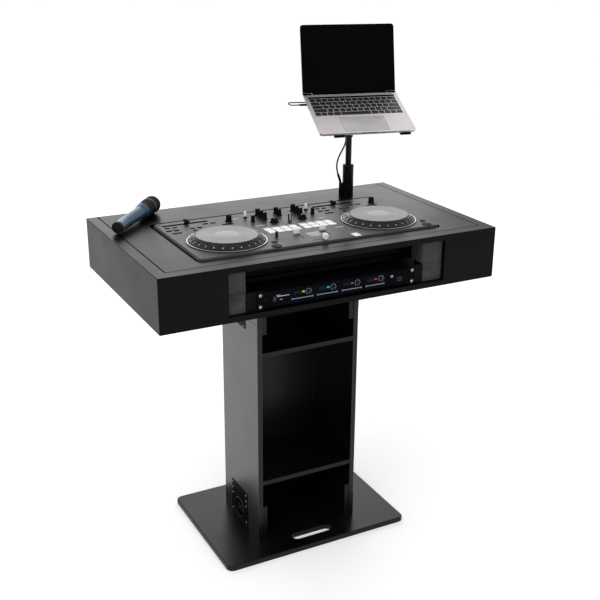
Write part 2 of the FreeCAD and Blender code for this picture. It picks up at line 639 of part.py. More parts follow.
def jog_wheels():
    """Platters with a sloping side on a hub; gives back the hub holes and the rings around them."""
    holes = []
    rings = []
    y = f"({deck_front} + {across('jog_line_share')})"
    rim, slope_top, top_rim = [across(f"jog_{word}_share") for word in ("rim", "shoulder", "top")]
    foot = f"({deck_top} + jog_lift)"
    skirt = f"({foot} + jog_skirt)"
    top = f"({foot} + jog_high)"
    shoulder = f"({top} - jog_cap)"
    ring_top = f"({deck_top} + ring_high)"
    for hand, jog in jogs:
        x = across(jog)
        keep(f"jog_{hand}", fused(f"jog_{hand}", [
            rod(f"jog_{hand}_skirt", rim, x, y, (foot, skirt)),
            taper(f"jog_{hand}_slope", rim, slope_top, x, y, (skirt, shoulder)),
            taper(f"jog_{hand}_cap", slope_top, top_rim, x, y, (shoulder, top)),
            rod(f"jog_{hand}_hub", "jog_hub", x, y, (f"{deck_top} - jog_hub_long", skirt))]))
        holes.append(rod(f"jog_{hand}_hole", "jog_hub + fit", x, y, through_deck))
        outer = rod(f"ring_{hand}_outer", f"{rim} + ring_gap + ring_wide", x, y,
                    (f"{deck_top} - overrun", ring_top))
        inner = rod(f"ring_{hand}_inner", f"{rim} + ring_gap", x, y,
                    (deck_foot, f"{ring_top} + overrun"))
        rings.append(less(f"ring_{hand}", outer, inner))
    return holes, rings


def controller():
    plate = block("deck_blank", around("0", "deck_wide"), (deck_front, deck_rear), (deck_foot, deck_top))
    plate = eased("deck_rounded", "Part::Fillet", plate, SIZES["deck_corner"], upright)
    plate = eased("deck_bevelled", "Part::Chamfer", plate, SIZES["deck_bevel"],
                  above(deck_level - SIZES["deck_bevel"]))
    hub_holes, rings = jog_wheels()
    cut = less("deck_cut", plate, *hub_holes, *knobs(), *faders(), *pads(), *transport())
    keep("controller_deck", fused("controller_deck", [cut] + rings))

    outer = block("case_blank", around("0", "deck_wide - 2 * case_margin"),
                  (f"{deck_front} + case_margin", f"{deck_rear} - case_margin"), (case_foot, deck_foot))
    wall = "(case_margin + case_wall)"
    inner = block("case_inside", around("0", f"deck_wide - 2 * {wall}"),
                  (f"{deck_front} + {wall}", f"{deck_rear} - {wall}"),
                  (f"{case_foot} + case_wall", f"{deck_foot} + overrun"))
    keep("controller_case", less("controller_case", outer, inner))

    levers = [block("paddle", around("0", "paddle_wide"),
                    around(from_front("paddle_line_share"), "paddle_deep"),
                    (deck_top, f"{deck_top} + paddle_high"))]
    for hand, side in hands:
        place = (across(f"{side} * toggle_column_share"), from_front("toggle_line_share"))
        levers.append(fused(f"{hand}_toggle", [
            rod(f"{hand}_toggle_foot", "toggle_foot", *place,
                (deck_top, f"{deck_top} + toggle_foot_high")),
            taper(f"{hand}_toggle_lever", "toggle_radius * knob_taper_share", "toggle_radius", *place,
                  (deck_top, f"{deck_top} + toggle_high"))]))
    levers.append(taper("curve_lever", "curve_radius", "curve_radius * knob_taper_share",
                        across("-curve_column_share"), from_front("curve_line_share"),
                        (deck_top, f"{deck_top} + curve_high")))
    keep("mixer_levers", group("mixer_levers", levers))


def stand_post():
    """Sleeve with the cable's guide and a nut, and the tube that slides in it with the cable's clip."""
    at = ("stand_place", stand_line)
    top = f"({table_top} + sleeve_high)"
    nut_foot = f"({panel_foot} - nut_thick)"
    barrel = rod("sleeve_barrel", "sleeve_radius", *at, (table_top, top))
    barrel = eased("sleeve_eased", "Part::Fillet", barrel, SIZES["sleeve_round"],
                   above(top_level + SIZES["sleeve_high"] / 2))
    spigot = rod("sleeve_spigot", "spigot_radius", *at, (nut_foot, f"{table_top} + overrun"))
    guide_top = f"({table_top} + guide_high)"
    aside = "(stand_place - guide_aside)"
    boss = rod("guide_boss", "guide_radius", aside, stand_line, (table_top, guide_top))
    web = block("guide_web", (aside, "stand_place"), around(stand_line, "guide_web"),
                (table_top, guide_top))
    hole = rod("guide_bore", "cable_thick / 2 + fit", aside, stand_line,
               (f"{guide_top} - guide_bore", f"{guide_top} + overrun"))
    bore = rod("sleeve_bore", "tube_radius + fit", *at, (f"{nut_foot} - overrun", f"{top} + overrun"))
    ring = rod("nut_blank", "nut_radius", *at, (nut_foot, panel_foot))
    thread = rod("nut_thread", "spigot_radius", *at, (f"{nut_foot} - overrun", f"{panel_foot} + overrun"))
    sleeve = less("sleeve", fused("sleeve_blank", [barrel, spigot, boss, web]), bore, hole)
    keep("stand_sleeve", group("stand_sleeve", [sleeve, less("sleeve_nut", ring, thread)]))

    low, high = f"{table_top} + tube_foot", f"{pivot_level} - tube_top_drop"
    clip_foot = f"({pivot_level} - clip_drop)"
    clip = (clip_foot, f"{clip_foot} + clip_high")
    outside = fused("tube_outside", [
        rod("tube_wall", "tube_radius", *at, (low, high)),
        rod("clip_ring", "clip_radius", *at, clip),
        rod("clip_boss", "boss_radius", "stand_place + boss_aside", f"{stand_line} + boss_behind", clip)])
    inside = rod("tube_inside", "tube_bore", *at, (f"{low} - overrun", f"{high} + overrun"))
    keep("stand_tube", less("stand_tube", outside, inside))


# Where the swivelled head, the tilted tray and the laptop's upper face lie
pivot = FreeCAD.Vector(SIZES["stand_place"], stand_depth, top_level + SIZES["tilt_high"])
head_place = FreeCAD.Placement(pivot, FreeCAD.Rotation(FreeCAD.Vector(0, 0, 1), SIZES["tray_turn"]))
tray_place = head_place.multiply(turned((1, 0, 0), SIZES["tray_tilt"]))
seat_high = SIZES["tray_rise"] + SIZES["tray_thick"] + SIZES["laptop_thick"]
laptop_seat = FreeCAD.Vector(SIZES["laptop_aside"], -SIZES["laptop_ahead"], seat_high)
laptop_place = tray_place.multiply(FreeCAD.Placement(laptop_seat, FreeCAD.Rotation()))


def stand_head():
    """Socket on the tube with a lug for the tilt pin, about the pivot."""
    socket_foot = "(-socket_drop - socket_long)"
    lug = around("0", "lug_wide")
    blank = fused("head_blank", [
        rod("head_socket", "socket_radius", "0", "0", (socket_foot, "-socket_drop")),
        block("head_neck", lug, around("0", "2 * lug_radius"), ("-socket_drop - overrun", "0")),
        rod("head_lug", "lug_radius", lug, "0", "0", "x")])
    bore = rod("head_bore", "tube_radius + fit", "0", "0",
               (f"{socket_foot} - overrun", "fit - tube_top_drop"))
    eye = rod("head_eye", "pin_radius + fit", around("0", "2 * lug_wide"), "0", "0", "x")
    head = less("tray_head", blank, bore, eye)
    head.Placement = head_place
    keep("tray_head", head)


def laptop_tray():
    """Two arms with lips on a bridge, with ears and a pin about the pivot."""
    bed = ("tray_rise", "tray_rise + tray_thick")
    front = "(-laptop_ahead - laptop_deep / 2)"
    pieces = [block("tray_bridge", ("left_arm", "right_arm"), around("0", "bridge_deep"), bed)]
    for hand, side in hands:
        wide = around(f"{hand}_arm", "arm_wide")
        pieces.append(block(f"{hand}_bar", wide, (f"{front} - lip_thick", "arm_back"), bed))
        pieces.append(block(f"{hand}_lip", wide, (f"{front} - lip_thick", front),
                            ("tray_rise", "tray_rise + tray_thick + lip_high")))
        ear = sides("lug_wide / 2 + fit", "lug_wide / 2 + fit + ear_thick", side)
        pieces.append(block(f"{hand}_ear", ear, around("0", "2 * lug_radius"),
                            ("0", "tray_rise + tray_thick / 2")))
        pieces.append(rod(f"{hand}_ear_round", "lug_radius", ear, "0", "0", "x"))
    pin_long = around("0", "lug_wide + 2 * fit + ear_thick")
    pieces.append(rod("tilt_pin", "pin_radius", pin_long, "0", "0", "x"))
    gland = ("left_arm - arm_wide / 2 - gland_long", "left_arm")
    pieces.append(rod("lead_gland", "gland_radius", gland, "gland_back",
                      "tray_rise - gland_radius / 2", "x"))
    tray = fused("laptop_tray", pieces)
    tray.Placement = tray_place
    keep("laptop_tray", tray)


def laptop():
    """Base with a shell and a bevelled cover, its upper face at level zero, and the lid on its barrel."""
    wide = around("0", "laptop_wide")
    deep = around("0", "laptop_deep")
    hinge_line = "(laptop_deep / 2 - hinge_from_back)"
    inner = around("0", "laptop_wide - 2 * laptop_corner")
    depth = ("laptop_corner - laptop_deep / 2", f"{hinge_line} - trough_radius - laptop_skin")

    blank = block("shell_blank", wide, deep, ("-laptop_side", "0"))
    blank = eased("shell_rounded", "Part::Fillet", blank, SIZES["laptop_corner"], upright)
    room = block("shell_room", inner, depth, ("-laptop_side - overrun", "-laptop_skin"))
    hinge = (hinge_line, "-hinge_drop", "x")
    trough = rod("hinge_trough", "trough_radius", around("0", "barrel_long + 2 * fit"), *hinge)
    eyes = rod("hinge_eyes", "hinge_pin + fit",
               around("0", "barrel_long + 2 * hinge_pin_long + 2 * fit"), *hinge)
    shell = less("laptop_shell", blank, room, trough, eyes)

    belly = block("belly_blank", wide, deep, ("-laptop_thick", "-laptop_side"))
    belly = eased("belly_rounded", "Part::Fillet", belly, SIZES["laptop_corner"], upright)
    belly = eased("belly_bevelled", "Part::Chamfer", belly, SIZES["belly_bevel"],
                  lambda edge: edge.BoundBox.ZMax < -SIZES["laptop_side"] - SIZES["belly_bevel"] / 2)
    well = block("belly_room", inner, depth, ("laptop_skin - laptop_thick", "overrun - laptop_side"))
    base = group("laptop_base", [shell, less("laptop_cover", belly, well)])
    base.Placement = laptop_place
    keep("laptop_base", base)

    face = "(hinge_drop + lid_gap)"
    near = "(-trough_radius - fit)"
    leaf = block("leaf_blank", wide, (f"-laptop_deep / 2 - {hinge_line}", near),
                 (face, f"{face} + lid_thick"))
    leaf = eased("lid_leaf", "Part::Fillet", leaf, SIZES["laptop_corner"],
                 lambda edge: upright(edge) and edge.BoundBox.YMax < -SIZES["laptop_deep"] / 2)
    barrel = around("0", "barrel_long")
    lid = fused("laptop_lid", [
        leaf,
        block("lid_tongue", barrel, (f"{near} - overrun", "0"), (face, f"{face} + lid_tongue")),
        rod("lid_barrel", "barrel_radius", barrel, "0", "0", "x"),
        rod("lid_pins", "hinge_pin", around("0", "barrel_long + 2 * hinge_pin_long"), "0", "0", "x")])
    hinge = FreeCAD.Vector(0, SIZES["laptop_deep"] / 2 - SIZES["hinge_from_back"], -SIZES["hinge_drop"])
    at_hinge = FreeCAD.Placement(hinge, FreeCAD.Rotation())
    lid.Placement = laptop_place.multiply(at_hinge).multiply(turned((1, 0, 0), -SIZES["lid_angle"]))
    keep("laptop_lid", lid)


def cord_path(points):
    """Straight runs joined by arcs as large as the runs allow, and the least radius."""
    edges = []
    radii = []
    start = points[0]
    for before, corner, after in zip(points, points[1:], points[2:]):
        back, ahead = before - corner, after - corner
        turn = math.pi - back.getAngle(ahead)
        reach = CORNER_SHARE * min(back.Length, ahead.Length)
        radius = reach / math.tan(turn / 2)
        back.normalize()
        ahead.normalize()
        inward = back + ahead
        inward.normalize()
        first, last = corner + back * reach, corner + ahead * reach
        middle = corner + inward * (radius / math.cos(turn / 2) - radius)
        edges.append(Part.LineSegment(start, first).toShape())
        edges.append(Part.Arc(first, middle, last).toShape())
        radii.append(radius)
        start = last
    edges.append(Part.LineSegment(start, points[-1]).toShape())
    return Part.Wire(edges), min(radii)


def cord(name, points, thick):
    """A tube along the path, compared with its section times its length."""
    path, least = cord_path([FreeCAD.Vector(*point) for point in points])
    first = path.Edges[0]
    ring = Part.Circle(first.Vertexes[0].Point, first.tangentAt(first.FirstParameter), thick / 2)
    shell = Part.BRepOffsetAPI.MakePipeShell(path)
    shell.add(Part.Wire(ring.toShape()))
    shell.build()
    shell.makeSolid()
    share = shell.shape().Volume / (math.pi * (thick / 2) ** 2 * path.Length)
    print(f"{name}: length {path.Length:.1f}, least radius {least:.1f}, volume share {share:.4f}")
    tube = doc.addObject("Part::Feature", f"{name}_tube")
    tube.Shape = shell.shape()
    return tube


def cables():
    """The stand's cable from its clip to its guide, and the laptop's lead with its plug."""
    clip_drop = SIZES["clip_drop"] + SIZES["cable_gap"]
    start = pivot + FreeCAD.Vector(SIZES["boss_aside"], SIZES["boss_behind"], -clip_drop)
    end = FreeCAD.Vector(SIZES["stand_place"] - SIZES["guide_aside"], stand_depth,
                         top_level + SIZES["guide_high"] - SIZES["cable_sunk"])
    bows = ((0, 0, 0), (0.095, 2.1, 0.6), (0.193, -0.5, 1.1), (0.282, -6.2, 2.7),
            (0.376, -12.2, 4.6), (0.474, -16.7, 6.4), (0.579, -17.9, 7), (0.683, -15.6, 5.9),
            (0.791, -9.9, 2.7), (0.873, -4.7, -0.5), (0.937, -1.7, -1), (1, 0, 0))
    route = [start + (end - start) * share + FreeCAD.Vector(aside, behind, 0)
             for share, aside, behind in bows]
    keep("stand_cable", cord("stand_cable", route, SIZES["cable_thick"]))

    tail = -SIZES["laptop_wide"] / 2 - SIZES["plug_long"]
    back, low = SIZES["plug_back"], -SIZES["port_low"]
    arm_side = SIZES["left_arm"] - SIZES["arm_wide"] / 2
    gland_end = arm_side - SIZES["gland_long"] - SIZES["laptop_aside"]
    gland_back = SIZES["gland_back"] + SIZES["laptop_ahead"]
    gland_low = SIZES["tray_rise"] - SIZES["gland_radius"] / 2 - seat_high
    route = [(tail, back, low), (tail - 13, back + 0.2, low - 0.5), (tail - 27, back + 4.5, low - 2.5),
             (tail - 32, back + 16, low - 5), (tail - 27, back + 27, low - 8.5),
             (tail - 13, gland_back - 0.5, low - 11.5), (tail + 10, gland_back, gland_low + 0.4),
             (tail + 33, gland_back - 0.3, gland_low), (gland_end, gland_back, gland_low)]
    lead = cord("laptop_lead", route, SIZES["lead_thick"])
    plug = block("plug_blank", ("-laptop_wide / 2 - plug_long", "-laptop_wide / 2"),
                 around("plug_back", "plug_wide"), around("-port_low", "plug_thick"))
    plug = eased("lead_plug", "Part::Fillet", plug, SIZES["plug_round"],
                 lambda edge: edge.BoundBox.XLength > SIZES["plug_long"] / 2)
    whole = group("laptop_lead", [lead, plug])
    whole.Placement = laptop_place
    keep("laptop_lead", whole)


def microphone():
    """Tail cap, flared body and grille along local X, laid with its tail and ball on the table."""
    cap = rod("mic_cap", "mic_tail - fit", ("0", "mic_cap_long"), "0", "0", "x")
    body = fused("mic_body", [
        taper("mic_grip", "mic_tail", "mic_neck", ("mic_cap_long", "mic_neck_from"), "0", "0", "x"),
        taper("mic_flare", "mic_neck", "mic_collar", ("mic_neck_from", "mic_head_from"), "0", "0", "x")])
    ball = doc.addObject("Part::Sphere", "mic_ball")
    ball.setExpression("Radius", bound("mic_ball"))
    move(ball, "mic_long", "0", "0")
    basket = taper("mic_basket", "mic_collar", "mic_ball", ("mic_head_from", "mic_long"), "0", "0", "x")
    ahead = block("mic_ahead", ("mic_head_from", "mic_long + mic_ball + overrun"),
                  around("0", "3 * mic_ball"), around("0", "3 * mic_ball"))
    grille = shared("mic_grille", [fused("mic_head", [ball, basket]), ahead])
    whole = group("microphone", [cap, body, grille])
    rise = math.asin((SIZES["mic_ball"] - SIZES["mic_tail"]) / SIZES["mic_long"])
    tail = FreeCAD.Vector(SIZES["mic_from_left"] - SIZES["table_wide"] / 2,
                          SIZES["mic_from_front"] - SIZES["table_deep"] / 2,
                          top_level + SIZES["fit"] + SIZES["mic_tail"])
    heading = FreeCAD.Placement(tail, FreeCAD.Rotation(FreeCAD.Vector(0, 0, 1), SIZES["mic_turn"]))
    whole.Placement = heading.multiply(turned((0, 1, 0), -math.degrees(rise)))
    keep("microphone", whole)


base_plate()
three_walls("plinth_walls", "plate_thick", lower_seam, lower_seam, False)
three_walls("socket_walls", upper_seam, table_foot, upper_seam, True)
tongues()
column()
latches()
table_box()
table_lid()
cheeks()
rack()
receiver()
controller()
stand_post()
stand_head()
laptop_tray()
laptop()
cables()
microphone()
doc.recompute()

for obj in doc.Objects:
    if {"Invalid", "Error"} & set(obj.State):
        raise RuntimeError(f"{obj.Name} failed: {obj.State}")
for obj in sub_parts:
    if obj.Shape.isNull() or not obj.Shape.isValid():
        raise RuntimeError(f"{obj.Label} has no valid shape")
os.makedirs("parts", exist_ok=True)
for obj in sub_parts:
    obj.Shape.exportStep(f"parts/{obj.Label}.step")
print(f"{len(sub_parts)} sub-parts, {sum(len(obj.Shape.Solids) for obj in sub_parts)} solids")
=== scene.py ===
import bpy
import bmesh
import json
import math
from mathutils import Matrix, Vector


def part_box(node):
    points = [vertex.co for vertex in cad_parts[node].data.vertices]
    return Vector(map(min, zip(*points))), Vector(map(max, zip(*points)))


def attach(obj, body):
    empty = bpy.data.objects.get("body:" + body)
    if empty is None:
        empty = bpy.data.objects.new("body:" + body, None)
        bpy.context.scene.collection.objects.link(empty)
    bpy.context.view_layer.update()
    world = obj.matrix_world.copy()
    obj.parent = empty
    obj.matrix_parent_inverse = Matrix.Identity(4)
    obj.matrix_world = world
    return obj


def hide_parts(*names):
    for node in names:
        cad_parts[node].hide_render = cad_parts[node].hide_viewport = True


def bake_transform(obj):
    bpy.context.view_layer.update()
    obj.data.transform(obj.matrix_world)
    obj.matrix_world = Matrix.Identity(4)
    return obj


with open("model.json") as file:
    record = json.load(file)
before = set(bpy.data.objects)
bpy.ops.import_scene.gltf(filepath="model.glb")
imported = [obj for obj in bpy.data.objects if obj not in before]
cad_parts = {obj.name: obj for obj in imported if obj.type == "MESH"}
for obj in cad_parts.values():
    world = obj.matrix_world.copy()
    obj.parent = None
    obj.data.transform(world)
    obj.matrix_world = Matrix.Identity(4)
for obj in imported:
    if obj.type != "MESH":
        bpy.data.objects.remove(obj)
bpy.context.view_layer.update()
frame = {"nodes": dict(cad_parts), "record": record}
nodes = frame["nodes"]
scene = bpy.context.scene
scene.view_settings.view_transform = "Standard"
milli = 0.001  # the frame is in metres, the sizes below are in millimetres


def addObject(name, data):
    made = bpy.data.objects.new(name, data)
    scene.collection.objects.link(made)
    return made


# camera, found from the booth's own edges in the picture
view = {
    "place": (-1248.04, -2447.48, 1744.34),
    "right": (0.886454, -0.462764, 0.006937),
    "forward": (0.435963, 0.829895, -0.348153),
    "lens": 59.212, "sensor": 36, "reach": 100,
}
lens = bpy.data.cameras.new("boothLens")
lens.lens, lens.sensor_width = view["lens"], view["sensor"]
lens.clip_end = view["reach"]
camera = addObject("boothCamera", lens)
right, forward = Vector(view["right"]), Vector(view["forward"])
turned = Matrix((right, right.cross(forward), -forward)).transposed().to_4x4()
camera.matrix_world = Matrix.Translation(Vector(view["place"]) * milli) @ turned
scene.camera = camera
print("camera placed")


def tip(degrees, axis):
    return Matrix.Rotation(math.radians(degrees), 4, axis)


def at(x, y, z, turn=0):
    return Matrix.Translation((x, y, z)) @ tip(turn, "Z")


def onFront(x, y, z):  # a face that looks to -Y: its own x and y run right and up
    return at(x, y, z) @ tip(90, "X")


def boxOf(name):  # a node's two corners and its middle, in millimetres
    low, high = [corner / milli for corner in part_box(name)]
    return low, high, (low + high) / 2


def shifted(profile, radius, height):
    return [(radius + out, height + up) for out, up in profile]


def polar(radius, turn, height):
    return Vector((radius * math.cos(turn), radius * math.sin(turn), height))


def turnsOf(count):
    return [2 * math.pi * i / count for i in range(count)]


def loft(bm, rings, tone=0, loop=False):
    made = [[bm.verts.new(point) for point in ring] for ring in rings]
    pairs = list(zip(made, made[1:]))
    if loop:
        pairs.append((made[-1], made[0]))
    for low, high in pairs:
        for i in range(len(low)):
            j = (i + 1) % len(low)
            bm.faces.new((low[i], low[j], high[j], high[i])).material_index = tone
    if not loop:
        bm.faces.new(made[0]).material_index = tone
        bm.faces.new(made[-1]).material_index = tone


def spin(bm, profile, place, sides=48, tone=0, loop=False):
    rings = [[place @ polar(radius, turn, height) for turn in turnsOf(sides)] for radius, height in profile]
    loft(bm, rings, tone, loop)


def roundedOutline(wide, deep, corner, inset=0, steps=5, least=0.02):
    radius = max(corner - inset, least)
    points = []
    for quarter, (sideX, sideY) in enumerate(((1, 1), (-1, 1), (-1, -1), (1, -1))):
        for step in range(steps + 1):
            turn = math.pi / 2 * (quarter + step / steps)
            points.append((sideX * (wide / 2 - inset - radius) + radius * math.cos(turn),
                           sideY * (deep / 2 - inset - radius) + radius * math.sin(turn)))
    return points


def slab(bm, size, place, corner=0.5, edge=0.2, tone=0, bulge=0.3):
    wide, deep, high = size
    layers = ((0, 0), (0, high - edge), (edge * bulge, high - edge * bulge), (edge, high))
    loft(bm, [[place @ Vector((x, y, z)) for x, y in roundedOutline(wide, deep, corner, inset)]
              for inset, z in layers], tone)


def slabs(bm, place, rows):  # a row has a size, a place, a corner, an edge and a tone
    for size, spot, corner, edge, tone in rows:
        slab(bm, size, place @ at(*spot), corner, edge, tone)


def piece(bm, name, body, finishes, sharp=40):
    bmesh.ops.scale(bm, vec=(milli,) * 3, verts=bm.verts)
    bmesh.ops.recalc_face_normals(bm, faces=bm.faces)
    mesh = bpy.data.meshes.new(name)
    bm.to_mesh(mesh)
    bm.free()
    for finish in finishes:
        mesh.materials.append(finish)
    mesh.shade_smooth()
    mesh.set_sharp_from_angle(angle=math.radians(sharp))
    made = addObject(name, mesh)
    if body:
        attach(made, body)
    return made


def hexLinear(code):
    shares = [int(code[i:i + 2], 16) / 255 for i in (1, 3, 5)]
    return [c / 12.92 if c <= 0.04045 else ((c + 0.055) / 1.055) ** 2.4 for c in shares] + [1]


def addNode(tree, kind, given):
    node = tree.nodes.new("ShaderNode" + kind)
    for key, value in given.items():
        if isinstance(key, str) and key[0].islower():
            setattr(node, key, value)
        elif isinstance(value, bpy.types.NodeSocket):
            tree.links.new(value, node.inputs[key])
        else:
            node.inputs[key].default_value = value
    return node


# shadedInsideIor and fade set the painted shade inside a box, see surface()
coat = {"drift": (0.35, 0.65), "gloss": (0.7, 1.3), "driftDetail": 4.0, "grainDetail": 2.0,
              "relief": 0.5, "shadedInsideIor": 1.15, "fade": 1}


# two tones, the sizes of mottle and grain and the depth of the grain in millimetres, the range of roughness
def surface(name, dark, light, mottle, grain, depth, rough, stretch=(1, 1, 1), metallic=0, ior=None,
            shadeWithin=None, shadedEdgeShare=None):
    # colour drifts between two tones, gloss drifts with it, and a finer grain lifts the surface
    made = bpy.data.materials.new(name)
    made.use_nodes = True
    tree = made.node_tree
    shader = tree.nodes["Principled BSDF"]
    place = addNode(tree, "TexCoord", {}).outputs["Object"]
    drift = addNode(tree, "TexNoise", {
        "Vector": place, "Scale": 1 / (mottle * milli), "Detail": coat["driftDetail"]}).outputs[0]
    share = addNode(tree, "MapRange", {
        "Value": drift, "From Min": coat["drift"][0], "From Max": coat["drift"][1]})
    tones = addNode(tree, "Mix", {
        "data_type": "RGBA", 0: share.outputs[0], 6: hexLinear(dark), 7: hexLinear(light)})
    tree.links.new(tones.outputs[2], shader.inputs["Base Color"])
    stretched = addNode(tree, "Mapping", {"Vector": place, "Scale": stretch})
    fine = addNode(tree, "TexNoise", {
        "Vector": stretched.outputs[0], "Scale": 1 / (grain * milli),
        "Detail": coat["grainDetail"]}).outputs[0]
    gloss = addNode(tree, "Math", {"operation": "ADD", 0: drift, 1: fine})
    dulled = addNode(tree, "MapRange", {
        "Value": gloss.outputs[0], "From Min": coat["gloss"][0], "From Max": coat["gloss"][1],
        "To Min": rough[0], "To Max": rough[1]})
    tree.links.new(dulled.outputs[0], shader.inputs["Roughness"])
    relief = addNode(tree, "Bump", {"Height": fine, "Strength": coat["relief"], "Distance": depth * milli})
    tree.links.new(relief.outputs[0], shader.inputs["Normal"])
    shader.inputs["Metallic"].default_value = metallic
    if ior:
        shader.inputs["IOR"].default_value = ior
    if shadeWithin:  # painted sheen and shade: a box's faces that look left or right reflect most, its other faces less and its inside least
        apart = addNode(tree, "SeparateXYZ", {0: place})
        out = addNode(tree, "Math", {"operation": "ABSOLUTE", 0: apart.outputs[0]})
        outside = addNode(tree, "MapRange", {
            "Value": out.outputs[0], "From Max": shadeWithin * milli,
            "From Min": (shadeWithin - coat["fade"]) * milli})
        facing = addNode(tree, "SeparateXYZ", {0: addNode(tree, "TexCoord", {}).outputs["Normal"]})
        side = addNode(tree, "Math", {"operation": "ABSOLUTE", 0: facing.outputs[0]})
        sideSheen = addNode(tree, "MapRange", {"Value": side.outputs[0], "To Min": shadedEdgeShare})
        share = addNode(tree, "Math", {"operation": "MULTIPLY", 0: outside.outputs[0], 1: sideSheen.outputs[0]})
        skin = addNode(tree, "MapRange", {
            "Value": share.outputs[0], "To Min": coat["shadedInsideIor"], "To Max": ior})
        tree.links.new(skin.outputs[0], shader.inputs["IOR"])
    return made


# satin lacquer sprayed on fibreboard: near black, faint orange peel, grey sheen at a low angle
# the peel is about 0.8 mm, drawn at 2.5 mm so that it shows
lacquer = {"dark": "#030304", "light": "#060607", "mottle": 120, "grain": 2.5, "depth": 0.03,
           "rough": (0.27, 0.36)}
satinLacquer = surface("satinLacquerOnBoard", **lacquer, ior=1.18)
# the base, tongues, column back and shelves: the same lacquer a touch lighter and with more sheen, a painted
# sheen set to how light falls on them
sheenLiftedLacquer = surface("lacquerOnBoardWithLiftedSheen", **lacquer | {"dark": "#060607", "light": "#0b0b0c"}, ior=1.31)
# the column's walls: the same lacquer with a painted sheen, pale grey at a low angle on the outer sides, and
# painted shade on the other faces and inside the box
sheenPaintedLacquer = surface("lacquerOnBoardWithPaintedSheen", **lacquer, ior=1.7, shadeWithin=149.5, shadedEdgeShare=0.4)
# fibreboard, sawn and left with a thin stain: brown grey, fibrous, no shine
# fibres of 0.2 mm are drawn at 3 mm, long along the board
sawnFibreboard = surface("sawnFibreboard", "#2f2d2a", "#403d39", 14, 3, 0.25, (0.8, 0.95),
                         stretch=(1, 0.25, 1))
# latch wings and rims: pressed steel, zinc plated and passivated black, with soft highlights on the folds
blackZinc = surface("blackZincSteel", "#2a2a2d", "#3d3d41", 9, 1.5, 0.02, (0.3, 0.42), metallic=1)
# latch plates: the same steel dipped in black stove enamel, dark at every angle
stovedSteel = surface("stoveEnamelledSteel", "#070708", "#0f0f10", 9, 1.5, 0.02, (0.34, 0.44), ior=1.1)
# rivets: steel with clear zinc, dulled by handling
zincRivet = surface("clearZincRivet", "#6a696b", "#828183", 3, 0.8, 0.02, (0.28, 0.38), metallic=1)
# rack rails and cases, sheet steel with a baked powder coat: pebble of 0.5 mm, drawn at 1.5 mm, dead black
powderCoat = surface("powderCoatedSteel", "#060607", "#0b0b0c", 30, 1.5, 0.05, (0.5, 0.62), ior=1.15)
# the laptop's post, drawn tube under gloss enamel: black with upright highlights
glossEnamel = surface("glossEnamelOnSteel", "#060607", "#0a0a0b", 40, 3, 0.01, (0.14, 0.2), ior=1.25)
# brass screws under bright nickel: warm pale metal, polished by the tumbler
brightNickel = surface("nickelPlatedBrass", "#b9a893", "#d8ccbb", 3, 1, 0.01, (0.16, 0.26), metallic=1)
# aluminium panel, brushed along its length and anodised black: long faint lines, 0.1 mm drawn at 1.2 mm
blackAnodised = surface("blackAnodisedAluminium", "#05070a", "#090c10", 40, 1.2, 0.02, (0.4, 0.5),
                        stretch=(0.02, 1, 1), ior=1.08)
# moulded ABS with a spark-eroded mould texture of 0.3 mm, drawn at 0.9 mm: black, even, soft shine
mouldedAbs = surface("mouldedBlackAbs", "#0b0b0c", "#121213", 12, 0.9, 0.03, (0.34, 0.46), ior=1.46)
# the controller's face: ABS under a matt grey-black film, slightly lighter than the booth
mattFilm = surface("mattFilmOnAbs", "#2b2b2d", "#353537", 60, 1.2, 0.02, (0.36, 0.46), ior=1.27)
# jog wheel side: dark moulded ABS, polished a little by fingers
jogAbs = surface("jogSideAbs", "#0d0d0e", "#151516", 10, 1.0, 0.02, (0.2, 0.28), ior=1.3)
# knobs and pitch caps: ABS under soft-touch rubber paint, black and velvety at every angle
# its grain of 0.1 mm is drawn at 0.8 mm
softTouchAbs = surface("softTouchPaintOnAbs", "#111112", "#1a1a1b", 8, 0.8, 0.03, (0.6, 0.75), ior=1.04)
# jog wheel top: aluminium disc with a satin grey lacquer
satinDisc = surface("satinLacqueredDisc", "#7b797c", "#868487", 25, 1.0, 0.01, (0.36, 0.46), ior=1.3)
# the disc's middle: pale print under clear film
paleFilm = surface("palePrintedFilm", "#898789", "#949295", 25, 1.0, 0.01, (0.36, 0.46), ior=1.3)
# bright trim rings: turned aluminium, clear lacquered, a thin pale line all round
turnedTrim = surface("turnedAluminiumTrim", "#c6c5c7", "#d8d7d9", 8, 1.0, 0.01, (0.24, 0.34), metallic=1)
# fader caps: pale grey moulded ABS, even and softly shiny, its texture of 0.3 mm drawn at 0.8 mm
paleAbs = surface("mouldedPaleAbs", "#dfdedc", "#e9e8e6", 8, 0.8, 0.03, (0.4, 0.52))
# pads: translucent white silicone, powdery to the touch
whiteSilicone = surface("whiteSilicone", "#e9e9e8", "#f4f4f3", 12, 1.2, 0.03, (0.5, 0.62), ior=1.41)
# the row of small keys behind the pads: silicone filled to a pale cool grey
greySilicone = surface("greySilicone", "#9fa1a5", "#acaeb2", 8, 1.0, 0.03, (0.45, 0.55), ior=1.41)
# transport keys: dark silicone with a rubbed top
darkSilicone = surface("darkSilicone", "#0e0e0f", "#161617", 8, 1.0, 0.03, (0.42, 0.54), ior=1.12)
# flat black that swallows light at every angle: painted shade round the knobs' feet and in the top's joints,
# and also flat black on the slot strips, small keys, the display's seam and the laptop's covers
flatBlackAndPaintedShade = surface("flatBlackAndPaintedShade", "#050505", "#0b0b0b", 3, 0.8, 0.1, (0.9, 1.0), ior=1.01)
# small levers, and the dots in the jog's dimples that are painted glints: turned steel, nickelled, small
# sharp glints
turnedSteel = surface("turnedSteel", "#9d9c9d", "#bcbbbc", 4, 0.8, 0.02, (0.22, 0.32), metallic=1)
